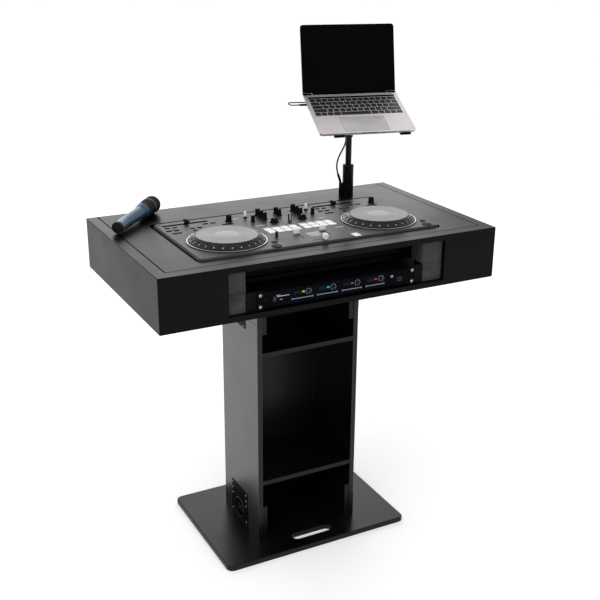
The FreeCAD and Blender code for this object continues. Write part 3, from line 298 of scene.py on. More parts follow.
# laptop shell: aluminium, bead blasted at 0.1 mm, drawn at 0.8 mm, and anodised warm grey
blastedAluminium = surface("beadBlastedAluminium", "#d6d0d0", "#dad4d4", 50, 0.8, 0.015, (0.4, 0.44),
                           metallic=1)
# trackpad: etched glass over the same grey, a touch smoother and cooler
etchedGlass = surface("etchedTrackpadGlass", "#a8a4a8", "#b0adb1", 40, 0.8, 0.008, (0.3, 0.36), ior=1.5)
# display: black glass with an anti-reflection coat, which leaves under 1% of a reflection
coatedGlass = surface("coatedDisplayGlass", "#030304", "#040506", 120, 40, 0.002, (0.05, 0.08), ior=1.08)
# display panel behind the glass, switched off: blue black and dead flat
unlitPanel = surface("unlitDisplayPanel", "#030405", "#050608", 90, 30, 0.002, (0.06, 0.1), ior=1.08)
# cords: extruded PVC, matt, with a trace of the die's lines
pvcSheath = surface("extrudedPvcSheath", "#070707", "#0d0d0d", 6, 0.8, 0.03, (0.42, 0.54), ior=1.2)
# microphone grip: cast zinc under blue metallic lacquer, clear coated
blueLacquer = surface("blueMetallicLacquer", "#213c51", "#2b4c63", 5, 0.7, 0.01, (0.24, 0.34), metallic=0.35,
                      ior=1.5)
# microphone grille: woven steel wire, dark chromate, which leaves a dull sparkle on each wire
chromateWire = surface("chromateSteelWire", "#363634", "#545450", 3, 0.6, 0.02, (0.34, 0.46), metallic=1)
# open-cell foam behind the grille: swallows light
darkFoam = surface("openCellFoam", "#060606", "#101010", 2, 1.0, 0.3, (0.9, 1.0))
# printed marks: white ink, silk screened, flat and chalky
whiteInk = surface("whiteScreenInk", "#d9d9d8", "#e8e8e7", 4, 0.6, 0.01, (0.5, 0.6))
# the same ink let down to grey
greyInk = surface("greyScreenInk", "#7d7c7f", "#8b8a8d", 4, 0.6, 0.01, (0.45, 0.55))
# the receiver's channel brackets: the same ink, tinted blue
blueInk = surface("blueGreyScreenInk", "#7c8998", "#8b98a7", 4, 0.6, 0.01, (0.45, 0.55))
# receiver windows: smoked acrylic over an unlit display, blue black
smokedAcrylic = surface("smokedAcrylic", "#0b1018", "#111823", 6, 2.0, 0.004, (0.08, 0.14), ior=1.15)
# coloured channel lights: moulded tinted acrylic, unlit, clear colour with a wet shine
tintedAcrylic = {
    word: surface(f"tintedAcrylic{word.title()}", dark, light, 4, 1.0, 0.01, (0.15, 0.25))
    for word, dark, light in (("yellow", "#ab9705", "#bda80d"), ("cyan", "#147fae", "#1b8fc0"),
                              ("magenta", "#6b2460", "#7d2c70"), ("red", "#8f1220", "#a31a29"))}
print("finishes mixed:", len(bpy.data.materials))

slotFinish = {
    "booth_black": satinLacquer, "raw_board": sawnFibreboard, "latch_steel": blackZinc,
    "rack_steel": powderCoat, "screw_steel": brightNickel, "receiver_front": blackAnodised,
    "black_plastic": mouldedAbs, "deck_face": mattFilm, "jog_plastic": jogAbs, "pale_plastic": paleAbs,
    "pad_rubber": whiteSilicone, "lever_metal": turnedSteel, "stand_steel": glossEnamel,
    "laptop_aluminium": blastedAluminium, "cable_sheath": pvcSheath, "mic_paint": blueLacquer,
}
ownFinish = {"transport_buttons": darkSilicone, "mixer_levers": mouldedAbs, "latch_plates": stovedSteel,
             "controller_case": powderCoat}
# the base, tongues, column back and shelves carry the painted sheen
ownFinish |= dict.fromkeys(("base_plate", "locating_tongues", "column_back", "shelves"), sheenLiftedLacquer)
# the walls of the plinth, column and socket carry the painted sheen and shade
ownFinish |= dict.fromkeys(("plinth_walls", "column_side_walls", "socket_walls"), sheenPaintedLacquer)
for part in frame["record"]["subparts"]:
    shown = nodes[part["node"]].data.materials
    shown.clear()
    shown.append(ownFinish.get(part["node"], slotFinish[part["material_slot"]]))
print("frame dressed:", len(nodes), "nodes")

# sawn and lacquered edges are eased a little, which catches the light along every board
easedEdges = {
    2.0: ["plinth_walls", "column_side_walls", "socket_walls"],
    0.9: ["base_plate", "column_back", "shelves", "table_bottom", "table_walls", "table_front_panels",
          "top_frame", "top_panel", "rack_cheeks"],
    0.6: ["transport_buttons", "laptop_tray", "tray_head", "stand_sleeve"],
    0.4: ["receiver_panel", "receiver_switch", "latch_plates", "latch_wing_left_lower",
          "latch_wing_left_upper", "latch_wing_right_lower", "latch_wing_right_upper"],
}
easeSet = {"weld": 0.01, "segments": 2, "angle": 50}
for width, names in easedEdges.items():
    for name in names:
        weld = nodes[name].modifiers.new("weld", "WELD")
        weld.merge_threshold = easeSet["weld"] * milli
        ease = nodes[name].modifiers.new("ease", "BEVEL")
        ease.width, ease.segments = width * milli, easeSet["segments"]
        ease.limit_method, ease.angle_limit = "ANGLE", math.radians(easeSet["angle"])
        nodes[name].modifiers.new("evenNormals", "WEIGHTED_NORMAL")
print("edges eased")

cordSet = {"order": 3, "smooth": 20, "round": 6}


def routeCurve(name, points, thick=0):
    curve = bpy.data.curves.new(name, "CURVE")
    curve.dimensions = "3D"
    spline = curve.splines.new("NURBS")
    spline.points.add(len(points) - 1)
    for knot, point in zip(spline.points, points):
        knot.co = (*(Vector(point) * milli), 1)
    spline.order_u = cordSet["order"]
    spline.use_endpoint_u = True
    curve.resolution_u = cordSet["smooth"]
    curve.bevel_depth, curve.bevel_resolution = thick / 2 * milli, cordSet["round"]
    curve.use_fill_caps = True
    return addObject(name, curve)


def routePath(name, points):
    line = routeCurve(name, points)
    mesh = bpy.data.meshes.new_from_object(line)
    path = [vertex.co.copy() for vertex in mesh.vertices]
    bpy.data.objects.remove(line)
    return path


# cable down the post: from the clip on the sliding tube to the guide on the fixed sleeve
cable = {
    "start": (306, 209, 1151.6), "end": (280, 193, 998.5), "thick": 5, "length": 162.7,
    "bends": ((0, 0, 0), (0.095, 2.1, 0.6), (0.193, -0.5, 1.1), (0.282, -6.2, 2.7), (0.376, -12.2, 4.6),
              (0.474, -16.7, 6.4), (0.579, -17.9, 7), (0.683, -15.6, 5.9), (0.791, -9.9, 2.7),
              (0.873, -4.7, -0.5), (0.937, -1.7, -1), (1, 0, 0)),
    "reliefFrom": 1008.8, "reliefTo": 1036, "reliefBead": 4.0, "reliefThick": (6.6, 8.6), "reliefSides": 20,
}
startPoint, endPoint = Vector(cable["start"]), Vector(cable["end"])
postRoute = [startPoint.lerp(endPoint, share) + Vector((aside, behind, 0))
             for share, aside, behind in cable["bends"]]
postPath = routePath("postRoute", postRoute)
tubeCurve = routeCurve("postTube", postRoute, cable["thick"])
standCable = addObject("standCable", bpy.data.meshes.new_from_object(tubeCurve))
bpy.data.objects.remove(tubeCurve)
standCable.data.materials.append(pvcSheath)
standCable.data.shade_smooth()
# beaded strain relief above the guide, following the cable
reliefLine = [p / milli for p in postPath if cable["reliefFrom"] < p.z / milli < cable["reliefTo"]]
turns = turnsOf(cable["reliefSides"])
thin, thick = cable["reliefThick"]
bm = bmesh.new()
rings = []
for i, point in enumerate(reliefLine):
    along = (reliefLine[min(i + 1, len(reliefLine) - 1)] - reliefLine[max(i - 1, 0)]).normalized()
    side = along.cross(Vector((0, 1, 0))).normalized()
    ahead = side.cross(along)
    run = (point - reliefLine[0]).length
    radius = (thin + (thick - thin) * abs(math.sin(math.pi * run / cable["reliefBead"]))) / 2
    rings.append([point + radius * (side * math.cos(t) + ahead * math.sin(t)) for t in turns])
loft(bm, rings)
cableRelief = piece(bm, "cableRelief", None, [pvcSheath])
for item in (standCable, cableRelief):
    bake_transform(item)
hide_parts("stand_cable")

# the laptop sits on the tray: tray pivot, swivel, tilt, then its own offset on the arms
stand = {"pivot": (307, 193, 1230), "swivel": -12.1, "tilt": 24.6, "offset": (14.4, -41.2, 25.4),
             "lidPin": (0, 103.5, -1.3), "lidOpen": 125.4}
trayPlace = at(*stand["pivot"], stand["swivel"]) @ tip(stand["tilt"], "X")
laptopPlace = trayPlace @ at(*stand["offset"])
lidPlace = laptopPlace @ at(*stand["lidPin"]) @ tip(-stand["lidOpen"], "X")

# short lead from the laptop's left side, which loops back under it to the tray
lead = {
    "thick": 3.5, "length": 134.4,
    "route": ((-174, 53, -2.8), (-187, 53.2, -3.3), (-201, 57.5, -5.3), (-206, 69, -7.8), (-201, 80, -11.3),
              (-187, 84.2, -14.3), (-164, 84.7, -15.0), (-141, 84.4, -15.4), (-118.5, 84.7, -15.4)),
    "plugTip": (-152, 53, -2.8), "plug": (4.5, 8, 22),
    "boot": ((2.1, -0.5), (2.1, 1.2), (1.95, 1.5), (2.05, 3.2), (1.9, 3.6), (1.98, 5.6), (1.85, 6),
             (1.9, 8.4), (1.8, 9)),
}
leadRoute = [laptopPlace @ Vector(point) for point in lead["route"]]
laptopLead = routeCurve("laptopLead", leadRoute, lead["thick"])
laptopLead.data.materials.append(pvcSheath)
bm = bmesh.new()
plugPlace = laptopPlace @ at(*lead["plugTip"]) @ tip(-90, "Y")
slab(bm, lead["plug"], plugPlace, corner=2, edge=1.2)
spin(bm, lead["boot"], plugPlace @ at(0, 0, lead["plug"][2]), sides=24)
leadPlug = piece(bm, "leadPlug", "laptop_tray", [pvcSheath])
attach(laptopLead, "laptop_tray")
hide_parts("laptop_lead")
print("cords laid")

# stage: pale floor, white surround, soft lamps from above, left and behind
stage = {
    "floorReach": 90, "floorDrop": 0.0005, "floorLift": 0.22, "surround": 1.0, "fill": 0.9,
    "key": {"place": (-2.4, -1.2, 3.6), "size": (2.6, 2.6), "watts": 36, "aim": (0, 0, 0.8)},
    "back": {"place": (1.1, 3.5, 2.25), "size": (3.4, 2.4), "watts": 35, "aim": (0, 0, 0.9)},
}
bm = bmesh.new()
reach = stage["floorReach"] / 2
bm.faces.new([bm.verts.new((x * reach, y * reach, 0)) for x, y in ((-1, -1), (1, -1), (1, 1), (-1, 1))])
floorMesh = bpy.data.meshes.new("paleFloor")
bm.to_mesh(floorMesh)
bm.free()
floor = addObject("paleFloor", floorMesh)
floor.location.z = -stage["floorDrop"]
floorPaint = surface("paintedStudioFloor", "#f0f0f0", "#f3f3f3", 900, 40, 0.05, (0.9, 1.0), ior=1.05)
floorMesh.materials.append(floorPaint)
floorSkin = floorPaint.node_tree.nodes["Principled BSDF"]
floorSkin.inputs["Emission Color"].default_value = (1, 1, 1, 1)
world = bpy.data.worlds.new("whiteSurround")
scene.world = world
world.use_nodes = True
sky = world.node_tree.nodes["Background"]
sky.inputs["Color"].default_value = (1, 1, 1, 1)
# both are lifted to white for the camera, in reflections and through glass
for tree, strength, plain, lifted in (
        (floorPaint.node_tree, floorSkin.inputs["Emission Strength"], 0, stage["floorLift"]),
        (world.node_tree, sky.inputs["Strength"], stage["fill"], stage["surround"])):
    path = addNode(tree, "LightPath", {}).outputs
    seen = addNode(tree, "Math", {"operation": "ADD", 0: path["Is Camera Ray"], 1: path["Is Glossy Ray"]})
    seen = addNode(tree, "Math", {"operation": "ADD", "use_clamp": True, 0: seen.outputs[0],
                                  1: path["Is Transmission Ray"]})
    power = addNode(tree, "MapRange", {"Value": seen.outputs[0], "To Min": plain, "To Max": lifted})
    tree.links.new(power.outputs[0], strength)
for word in ("key", "back"):
    lampSet = stage[word]
    lamp = bpy.data.lights.new(word + "Softbox", "AREA")
    lamp.shape, lamp.energy = "RECTANGLE", lampSet["watts"]
    lamp.size, lamp.size_y = lampSet["size"]
    lampObject = addObject(word + "Softbox", lamp)
    lampObject.location = lampSet["place"]
    aim = Vector(lampSet["aim"]) - Vector(lampSet["place"])
    lampObject.rotation_euler = aim.to_track_quat("-Z", "Y").to_euler()
print("stage lit")

deckTop = 968  # the controller's face
sunk, inkSunk = 0.1, 0.02  # how far trim and ink are let into a face, so that no gap shows

# jog wheels: dimpled side with a small steel dot in each dimple as a painted glint, grooved disc, pale
# middle, bright fixed ring
jog = {
    "foot": 968.5, "skirt": 3, "rim": 104, "shoulder": (88, 984), "top": (85.5, 986.5),
    "footEdge": ((-0.8, 0), (0, 0.8)), "topEdge": ((0.6, -0.6), (0, 0), (-1.3, 0), (-1.7, -0.5)),
    "dimples": 24, "press": 1.82, "dimple": (14, 13), "steps": 16, "perDimple": 14,
    "glintDot": ((1.9, -0.4), (1.9, 0.2), (1.5, 0.5), (0.7, 0.65)),
    "disc": 83.4, "discEdge": ((0, -0.6), (0, -0.2), (-0.4, -0.05)), "discHole": ((1.2, -0.05), (0.8, -0.3)),
    "grooves": 18, "groove": ((0, -0.05), (-0.35, -0.2), (-0.7, -0.05)), "grooveFrom": 1.4, "grooveRoom": 4,
    "middle": 34, "middleEdge": ((0, -0.4), (0, -0.05), (-0.5, 0.05)),
    "ring": ((106.9, 970.4), (106.9, 970.75), (107.2, 970.95), (108.4, 970.95), (108.7, 970.75),
             (108.7, 970.4)),
}
for hand in ("left", "right"):
    centre = boxOf(f"jog_{hand}")[2]
    place = at(centre.x, centre.y, 0)
    foot, rim, press, dimples = [jog[word] for word in ("foot", "rim", "press", "dimples")]
    skirtTop = foot + jog["skirt"]
    (shoulder, shoulderHigh), (top, topHigh) = jog["shoulder"], jog["top"]
    slant = math.hypot(rim - shoulder, shoulderHigh - skirtTop)
    # a row has its radius, its height and how far it is from the dimples' middle line, where 1 is their end
    rows = [(*point, 1) for point in shifted(jog["footEdge"], rim, foot) + [(rim, skirtTop)]]
    for step in range(1, jog["steps"]):
        share = step / jog["steps"]
        rows.append((rim + (shoulder - rim) * share, skirtTop + (shoulderHigh - skirtTop) * share,
                     (share - 0.5) * slant * 2 / jog["dimple"][1]))
    rows += [(*point, 1) for point in [(shoulder, shoulderHigh)] + shifted(jog["topEdge"], top, topHigh)]
    sides = dimples * jog["perDimple"]
    rings = []
    for radius, height, up in rows:
        ring = []
        for i, turn in enumerate(turnsOf(sides)):
            beside = ((i / jog["perDimple"] + 0.5) % 1 - 0.5) * 2 * math.pi * radius / dimples
            out = (beside * 2 / jog["dimple"][0]) ** 2 + up ** 2
            pressed = press * max(0, 1 - out)
            ring.append(place @ polar(radius - pressed, turn, height - pressed))
        rings.append(ring)
    bm = bmesh.new()
    loft(bm, rings)
    lean = Matrix.Rotation(math.atan2(shoulderHigh - skirtTop, rim - shoulder), 4, "Y")
    spot = at((rim + shoulder) / 2 - press, 0, (skirtTop + shoulderHigh) / 2 - press)
    # painted glints: a steel dot in each dimple stands in for a lamp's reflection
    for dimple in range(dimples):
        spin(bm, jog["glintDot"], place @ tip(360 * dimple / dimples, "Z") @ spot @ lean, sides=16, tone=3)
    disc, middle = jog["disc"], jog["middle"]
    profile = shifted(jog["discEdge"], disc, topHigh)
    pitch = (disc - middle - jog["grooveRoom"]) / jog["grooves"]
    for groove in range(jog["grooves"]):
        profile += shifted(jog["groove"], disc - jog["grooveFrom"] - groove * pitch, topHigh)
    profile += shifted(jog["discHole"], middle, topHigh)
    spin(bm, profile, place, sides=128, tone=1)
    spin(bm, shifted(jog["middleEdge"], middle, topHigh), place, sides=96, tone=2)
    wheel = piece(bm, f"jogWheel_{hand}", f"jog_{hand}",
                  [jogAbs, satinDisc, paleFilm, turnedSteel])
    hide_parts(f"jog_{hand}")
    bm = bmesh.new()
    spin(bm, jog["ring"], place, sides=160, loop=True)
    piece(bm, f"jogTrim_{hand}", "booth", [turnedTrim])
print("jog wheels turned")

# knobs: fluted grips on a plain skirt, white pointer, a flat black ring of painted shade round the foot,
# scale of ticks on the deck
# a row has a share of the radius, a share of the height, millimetres more and a share of the flutes' depth
knob = {
    "lift": 0.3, "wider": {"eq": 1.25, "filter": 1.3, "centre": 1.2},
    "rows": ((1, 0, 0, 0), (1, 0, 1.4, 0), (0.96, 0, 1.9, 0.3), (0.95, 0, 2.5, 1), (0.91, 0.55, 0, 1),
             (0.87, 1, -1.3, 1), (0.85, 1, -0.5, 0.4), (0.79, 1, 0, 0)),
    "flutes": 16, "fluteDeep": 0.5, "perFlute": 6,
    "pointerWide": 1.3, "pointerLong": 0.62, "pointerHigh": 0.3, "pointerOut": 0.42, "pointerSunk": 0.15,
    "seat": 1.3, "seatEdge": ((0, -0.2), (0, 0.1), (-0.3, 0.22)), "seatHole": ((-1, 0.22),),
    "ticks": 9, "tickSweep": 270, "tickOut": 3.4, "tick": (0.6, 1.8, 0.08),
}
ticks = bmesh.new()
seats = bmesh.new()
for name in sorted(name for name in nodes if "_knob_" in name):
    low, high, centre = boxOf(name)
    x, y, foot = centre.x, centre.y, deckTop + knob["lift"]
    radius, tall = (high.x - low.x) / 2 * knob["wider"].get(name.split("_")[0], 1), high.z - foot
    place = at(x, y, foot)
    sides = knob["flutes"] * knob["perFlute"]
    rings = []
    for share, upShare, more, flute in knob["rows"]:
        height = tall * upShare + more
        ring = []
        for turn in turnsOf(sides):
            cut = knob["fluteDeep"] * flute * (0.5 + 0.5 * math.cos(knob["flutes"] * turn))
            ring.append(place @ polar(radius * share - cut, turn, height))
        rings.append(ring)
    bm = bmesh.new()
    loft(bm, rings)
    slab(bm, (knob["pointerWide"], radius * knob["pointerLong"], knob["pointerHigh"]),
         place @ at(0, radius * knob["pointerOut"], tall - knob["pointerSunk"]), corner=0.4, edge=0.1,
         tone=0 if "deck" in name else 1)
    # painted shade: a flat black ring on the deck round each knob's foot
    spin(seats, shifted(knob["seatEdge"], radius * knob["seat"], 0)
         + shifted(knob["seatHole"], radius, 0), at(x, y, deckTop), sides=40)
    grip = piece(bm, f"grip_{name}", name, [softTouchAbs, whiteInk])
    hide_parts(name)
    for tick in range(knob["ticks"]):
        turn = knob["tickSweep"] * (tick / (knob["ticks"] - 1) - 0.5)
        spot = at(x, y, deckTop - inkSunk, turn) @ at(0, radius + knob["tickOut"], 0)
        slab(ticks, knob["tick"], spot, corner=0.25, edge=0.03)
piece(ticks, "knobScales", "booth", [greyInk])
piece(seats, "knobFootShade", "booth", [flatBlackAndPaintedShade])
print("knobs fluted")

# fader caps: boxy body with grip ribs on both sides and a line across the top
# the pitch caps are a wide plate on a narrow neck
# a cap has its width, length, height, shift to the right and turn
# a layer has millimetres more of width and length, a share of the height and millimetres more
fader = {
    "caps": {
        "channel_cap_left": (15, 10.4, 13.4, 1.4, 0), "channel_cap_right": (15, 10.4, 13.4, 1.4, 0),
        "crossfader_cap": (16.5, 10, 14.4, 1.6, 90), "pitch_cap_left": (24, 13, 10.5, 0, 90),
        "pitch_cap_right": (24, 13, 10.5, 0, 90)},
    "plate": ((-6, -6, 0, 0), (-6, -6, 0.5, 0), (0, 0, 0.6, 0), (0, 0, 0.85, 0), (-1, -3, 1, -0.4),
              (-2, -4, 1, 0)),
    "block": ((0, 0, 0, 0), (0, 0, 0.6, 0), (-0.3, -0.5, 1, -0.8), (-0.7, -1, 1, -0.25), (-1.5, -1.8, 1, 0)),
    "lift": 0.3, "corner": 0.9, "lineShort": 3, "line": (1.5, 0.35), "lineSunk": 0.15,
    "ribShort": 2.4, "rib": (0.8, 0.7), "ribSunk": 0.25, "ribsUp": (0.22, 0.38, 0.54),
}
for name, (wide, long, tall, aside, turn) in fader["caps"].items():
    centre = boxOf(name)[2]
    place = at(centre.x + aside, centre.y, deckTop + fader["lift"], turn)
    pitch = "pitch" in name
    bm = bmesh.new()
    loft(bm, [[place @ Vector((x, y, tall * upShare + more))
               for x, y in roundedOutline(wide + moreWide, long + moreLong, fader["corner"])]
              for moreWide, moreLong, upShare, more in fader["plate" if pitch else "block"]])
    slab(bm, (wide - fader["lineShort"], *fader["line"]), place @ at(0, 0, tall - fader["lineSunk"]),
         corner=0.3, edge=0.08, tone=1)
    for side in () if pitch else (-1, 1):
        for up in fader["ribsUp"]:
            slab(bm, (wide - fader["ribShort"], *fader["rib"]),
                 place @ at(0, side * (long / 2 - fader["ribSunk"]), tall * up) @ tip(-90 * side, "X"),
                 corner=0.2, edge=0.2)
    finishes = [softTouchAbs, softTouchAbs] if pitch else [paleAbs, mattFilm]
    cap = piece(bm, f"cap_{name}", name, finishes)
    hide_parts(name)
faderScale = {
    "pitch": {"x": (-280.5, 197.5), "y": 100, "turn": 90, "long": 118, "count": 13, "sides": (-1,),
              "out": 7, "tick": 2.2, "mainTick": 3.6},
    "channel": {"x": (-41, 41), "y": -145, "turn": 0, "long": 48, "count": 11, "sides": (-1, 1),
                "out": 5.5, "tick": 3, "mainTick": 3},
}
scaleMark = {"main": 6, "thin": 0.6, "high": 0.08}
bm = bmesh.new()
for scale in faderScale.values():
    for x in scale["x"]:
        place = at(x, scale["y"], deckTop - inkSunk, scale["turn"])
        for count in range(scale["count"]):
            along = scale["long"] * (count / (scale["count"] - 1) - 0.5)
            long = scale["tick"] if count % scaleMark["main"] else scale["mainTick"]
            for side in scale["sides"]:
                slab(bm, (long, scaleMark["thin"], scaleMark["high"]),
                     place @ at(side * (scale["out"] + long / 2), along, 0), corner=0.2, edge=0.03)
piece(bm, "faderScales", "booth", [greyInk])
# flat black strips along both sides of each pitch slot
slotStrip = {"size": (136, 4.6, 0.3), "apart": 3.9}
bm = bmesh.new()
for x in faderScale["pitch"]["x"]:
    for side in (-1, 1):
        y = faderScale["pitch"]["y"] + side * slotStrip["apart"]
        slab(bm, slotStrip["size"], at(x, y, deckTop - sunk), corner=1, edge=0.06)
piece(bm, "slotStrips", "booth", [flatBlackAndPaintedShade])
# white sleeves on the two toggles
toggle = {"x": 100, "y": 85, "sleeve": ((3.5, 3.6), (3.7, 4), (3.7, 17.6), (3.3, 18.5), (2.2, 18.9)),
          "washer": ((3.2, 3), (6.2, 3), (6.2, 3.4), (5.8, 3.7), (3.2, 3.7))}
bm = bmesh.new()
for side in (-1, 1):
    place = at(side * toggle["x"], toggle["y"], deckTop)
    spin(bm, toggle["sleeve"], place, sides=32)
    spin(bm, toggle["washer"], place, sides=32, tone=1, loop=True)
piece(bm, "toggleSleeves", "booth", [whiteSilicone, mouldedAbs])

# pads: soft square tops, four across and two deep on each side of the middle
padSet = {"size": (21.4, 19, 6), "columns": (17, 43, 69, 95), "rows": (-84, -60.5), "foot": 964}
bm = bmesh.new()
for side in (-1, 1):
    for x in padSet["columns"]:
        for y in padSet["rows"]:
            slab(bm, padSet["size"], at(side * x, y, padSet["foot"]), corner=1.8, edge=0.7)
pads = piece(bm, "padTops", "performance_pads", [whiteSilicone])
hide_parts("performance_pads")

# small keys, plates, lamps and screws on the controller's face
deck = {
    "keys": ((-343, 77, 14, 6), (-322, 75, 14, 6), (-347, 50, 16, 7), (-326, 48, 16, 7), (-334, 21, 26, 6),
             (-229, 75, 16, 6), (-206, 73, 16, 6), (-278, 48, 14, 6), (-258, 46, 14, 6), (-280, 25, 12, 6),
             (-183, 45, 14, 6), (-163, 43, 14, 6), (-170, 22, 20, 6)),
    "keyHigh": 1.1, "bedOut": 1.4, "bedHigh": 0.2, "secondDeck": 478,
    "modeRow": -43, "modeKey": (21, 8, 1.0),
    # the plate, the label, four strips and the two lines beside the mixer
    "flats": (((44, 44, 0.5), (2, -154, -0.1), 3, 0.15, 0), ((20, 30, 0.35), (103, -206, -0.1), 1.5, 0.08, 1),
              ((29, 6, 0.3), (-97, -10, -0.1), 1, 0.06, 3), ((28, 5, 0.3), (98, -120, -0.1), 1, 0.06, 3),
              ((24, 6, 0.3), (98, -14, -0.1), 1, 0.06, 3), ((16, 6, 0.3), (-133, 84, -0.1), 1, 0.06, 3),
              ((1.2, 262, 0.12), (120, -92, -0.05), 0.4, 0.04, 2),
              ((1.2, 262, 0.12), (-120, -92, -0.05), 0.4, 0.04, 2)),
    "lamps": ((-17, 96), (17, 96), (-17, 73), (17, 73), (-17, 50), (17, 50)),
    "lamp": ((1.3, -0.2), (1.3, 0.3), (0.9, 0.6), (0.3, 0.7)),
    "screws": ((-352, -208), (352, -208), (-352, 118), (352, 118), (0, 118), (-128, 118), (128, 118)),
    "screw": ((3.2, -0.3), (3.2, 0.35), (2.8, 0.6), (1.7, 0.6), (1.5, 0.1)),
}
bm = bmesh.new()
for x, y, wide, deep in deck["keys"]:
    for shift in (0, deck["secondDeck"]):
        place = at(x + shift, y, deckTop - sunk)
        slab(bm, (wide, deep, deck["keyHigh"]), place, corner=1.5, edge=0.35)
        slab(bm, (wide + deck["bedOut"], deep + deck["bedOut"], deck["bedHigh"]), place, corner=2,
             edge=0.05, tone=1)
for x in padSet["columns"]:
    for side in (-1, 1):
        slab(bm, deck["modeKey"], at(side * x, deck["modeRow"], deckTop - sunk), corner=1, edge=0.3, tone=2)
piece(bm, "deckKeys", "booth", [flatBlackAndPaintedShade, pvcSheath, greySilicone])
bm = bmesh.new()
slabs(bm, at(0, 0, deckTop), deck["flats"])
for x, y in deck["lamps"]:
    spin(bm, deck["lamp"], at(x, y, deckTop), sides=20, tone=2)
for x, y in deck["screws"]:
    spin(bm, deck["screw"], at(x, y, deckTop), sides=28, tone=2)
piece(bm, "deckPlates", "booth", [satinDisc, whiteInk, mouldedAbs, greySilicone])
# dark rims round the transport keys, pale line over the paddle's front and top
transport = {"keys": ((-141, -206, 13), (-132, -172, 7.5)), "gap": 0.35,
             "rim": ((0, -0.2), (0, 0.5), (0.3, 0.8), (0.8, 0.8), (1.1, 0.5), (1.1, -0.2)),
             "frontLine": (2.2, 18, 0.25), "frontAt": (0, -6.9, 11),
             "topLine": (2.2, 3.2, 0.25), "topAt": (0, -5, 21.9)}
bm = bmesh.new()
for x, y, radius in transport["keys"]:
    for shift in (0, deck["secondDeck"]):
        spin(bm, shifted(transport["rim"], radius + transport["gap"], 0), at(x + shift, y, deckTop), sides=64,
             loop=True)
piece(bm, "transportRims", "booth", [pvcSheath])
bm = bmesh.new()
slab(bm, transport["frontLine"], at(0, 0, deckTop) @ onFront(*transport["frontAt"]), corner=0.8, edge=0.08)
slab(bm, transport["topLine"], at(0, 0, deckTop) @ at(*transport["topAt"]), corner=0.8, edge=0.08)
piece(bm, "paddleLine", "booth", [whiteInk])
print("controller dressed")

# receiver front: windows, coloured lights, printed brackets, knob scales, port and sensor
receiver = {
    "face": -294, "lights": ((-106.6, "yellow"), (-32.5, "cyan"), (41.2, "magenta"), (115.4, "red")),
    "lightHigh": 863.6, "light": (8, 5.4, 0.7), "windowAside": -18, "window": (21, 10, 0.5),
    "brackets": ((-139, -79), (-64, -5), (12, 70), (86, 142)), "bracketHigh": 847,
    "barShort": 5, "bar": (1.9, 0.2),
    "loop": ((2.4, 0), (2.4, 0.15), (2.2, 0.22), (1.3, 0.22), (1.1, 0.15), (1.1, 0)),
    "knobs": (-91, -16.4, 58.2, 132.8), "knobHigh": 862.5, "ticks": 7, "tickSweep": 270, "tickOut": 8.6,
    "tick": (0.7, 1.7, 0.18), "pointer": (0.9, 3, 0.25), "pointerAt": (0, 2, 6.9),
    "ring": ((7.4, 0), (7.4, 0.12), (7.3, 0.18), (6.9, 0.18), (6.8, 0.12), (6.8, 0)),
    "rows": ((-180, 864.6, 12, 0.9), (-166, 861.4, 36, 1.2), (-172, 852, 8, 0.9)), "inkHigh": 0.18,
    "markAt": (168, 863), "mark": ((3.5, 0), (3.5, 0.15), (3.2, 0.2), (2.6, 0.2), (2.4, 0)),
    "portAt": (193, 852), "port": (15, 11, 0.8), "socket": (11, 6, 0.3), "socketOut": 0.7,
    "sensorAt": (-218, 858.5), "sensor": ((3.2, 0), (3.2, 0.6), (2.8, 0.8), (2.2, 0.8), (2.0, 0.2)),
}
face = receiver["face"] + sunk
bm = bmesh.new()
for x, _ in receiver["lights"]:
    slab(bm, receiver["window"], onFront(x + receiver["windowAside"], face, receiver["lightHigh"]), corner=1,
         edge=0.15)
piece(bm, "receiverWindows", "booth", [smokedAcrylic])
bm = bmesh.new()
for index, (x, word) in enumerate(receiver["lights"]):
    slab(bm, receiver["light"], onFront(x, face, receiver["lightHigh"]), corner=0.8, edge=0.25, tone=index)
piece(bm, "receiverLights", "booth",
      [tintedAcrylic[word] for _, word in receiver["lights"]])
bm = bmesh.new()
for start, end in receiver["brackets"]:
    slab(bm, (end - start - receiver["barShort"], *receiver["bar"]),
         onFront((start + end) / 2, face, receiver["bracketHigh"]), corner=0.5, edge=0.05, tone=1)
    for x in (start, end):
        spin(bm, receiver["loop"], onFront(x, face, receiver["bracketHigh"]), sides=28, tone=1, loop=True)
for x in receiver["knobs"]:
    place = onFront(x, face, receiver["knobHigh"])
    for tick in range(receiver["ticks"]):
        turn = receiver["tickSweep"] * (tick / (receiver["ticks"] - 1) - 0.5)
        slab(bm, receiver["tick"], place @ tip(turn, "Z") @ at(0, receiver["tickOut"], 0), corner=0.2,
             edge=0.05)
    spot = onFront(x, receiver["face"], receiver["knobHigh"]) @ at(*receiver["pointerAt"])
    slab(bm, receiver["pointer"], spot, corner=0.3, edge=0.08)
    spin(bm, receiver["ring"], place, sides=48, tone=1, loop=True)
for x, z, wide, tall in receiver["rows"]:
    slab(bm, (wide, tall, receiver["inkHigh"]), onFront(x, face, z), corner=0.4, edge=0.05)
x, z = receiver["markAt"]
spin(bm, receiver["mark"], onFront(x, face, z), sides=32, loop=True)
piece(bm, "receiverPrint", "booth", [whiteInk, blueInk])
bm = bmesh.new()
x, z = receiver["portAt"]
slab(bm, receiver["port"], onFront(x, face, z), corner=1.2, edge=0.3)
slab(bm, receiver["socket"], onFront(x, face - receiver["socketOut"], z), corner=0.8, edge=0.1, tone=1)
x, z = receiver["sensorAt"]
spin(bm, receiver["sensor"], onFront(x, face, z), sides=32, tone=1)
piece(bm, "receiverPort", "booth", [mattFilm, pvcSheath])
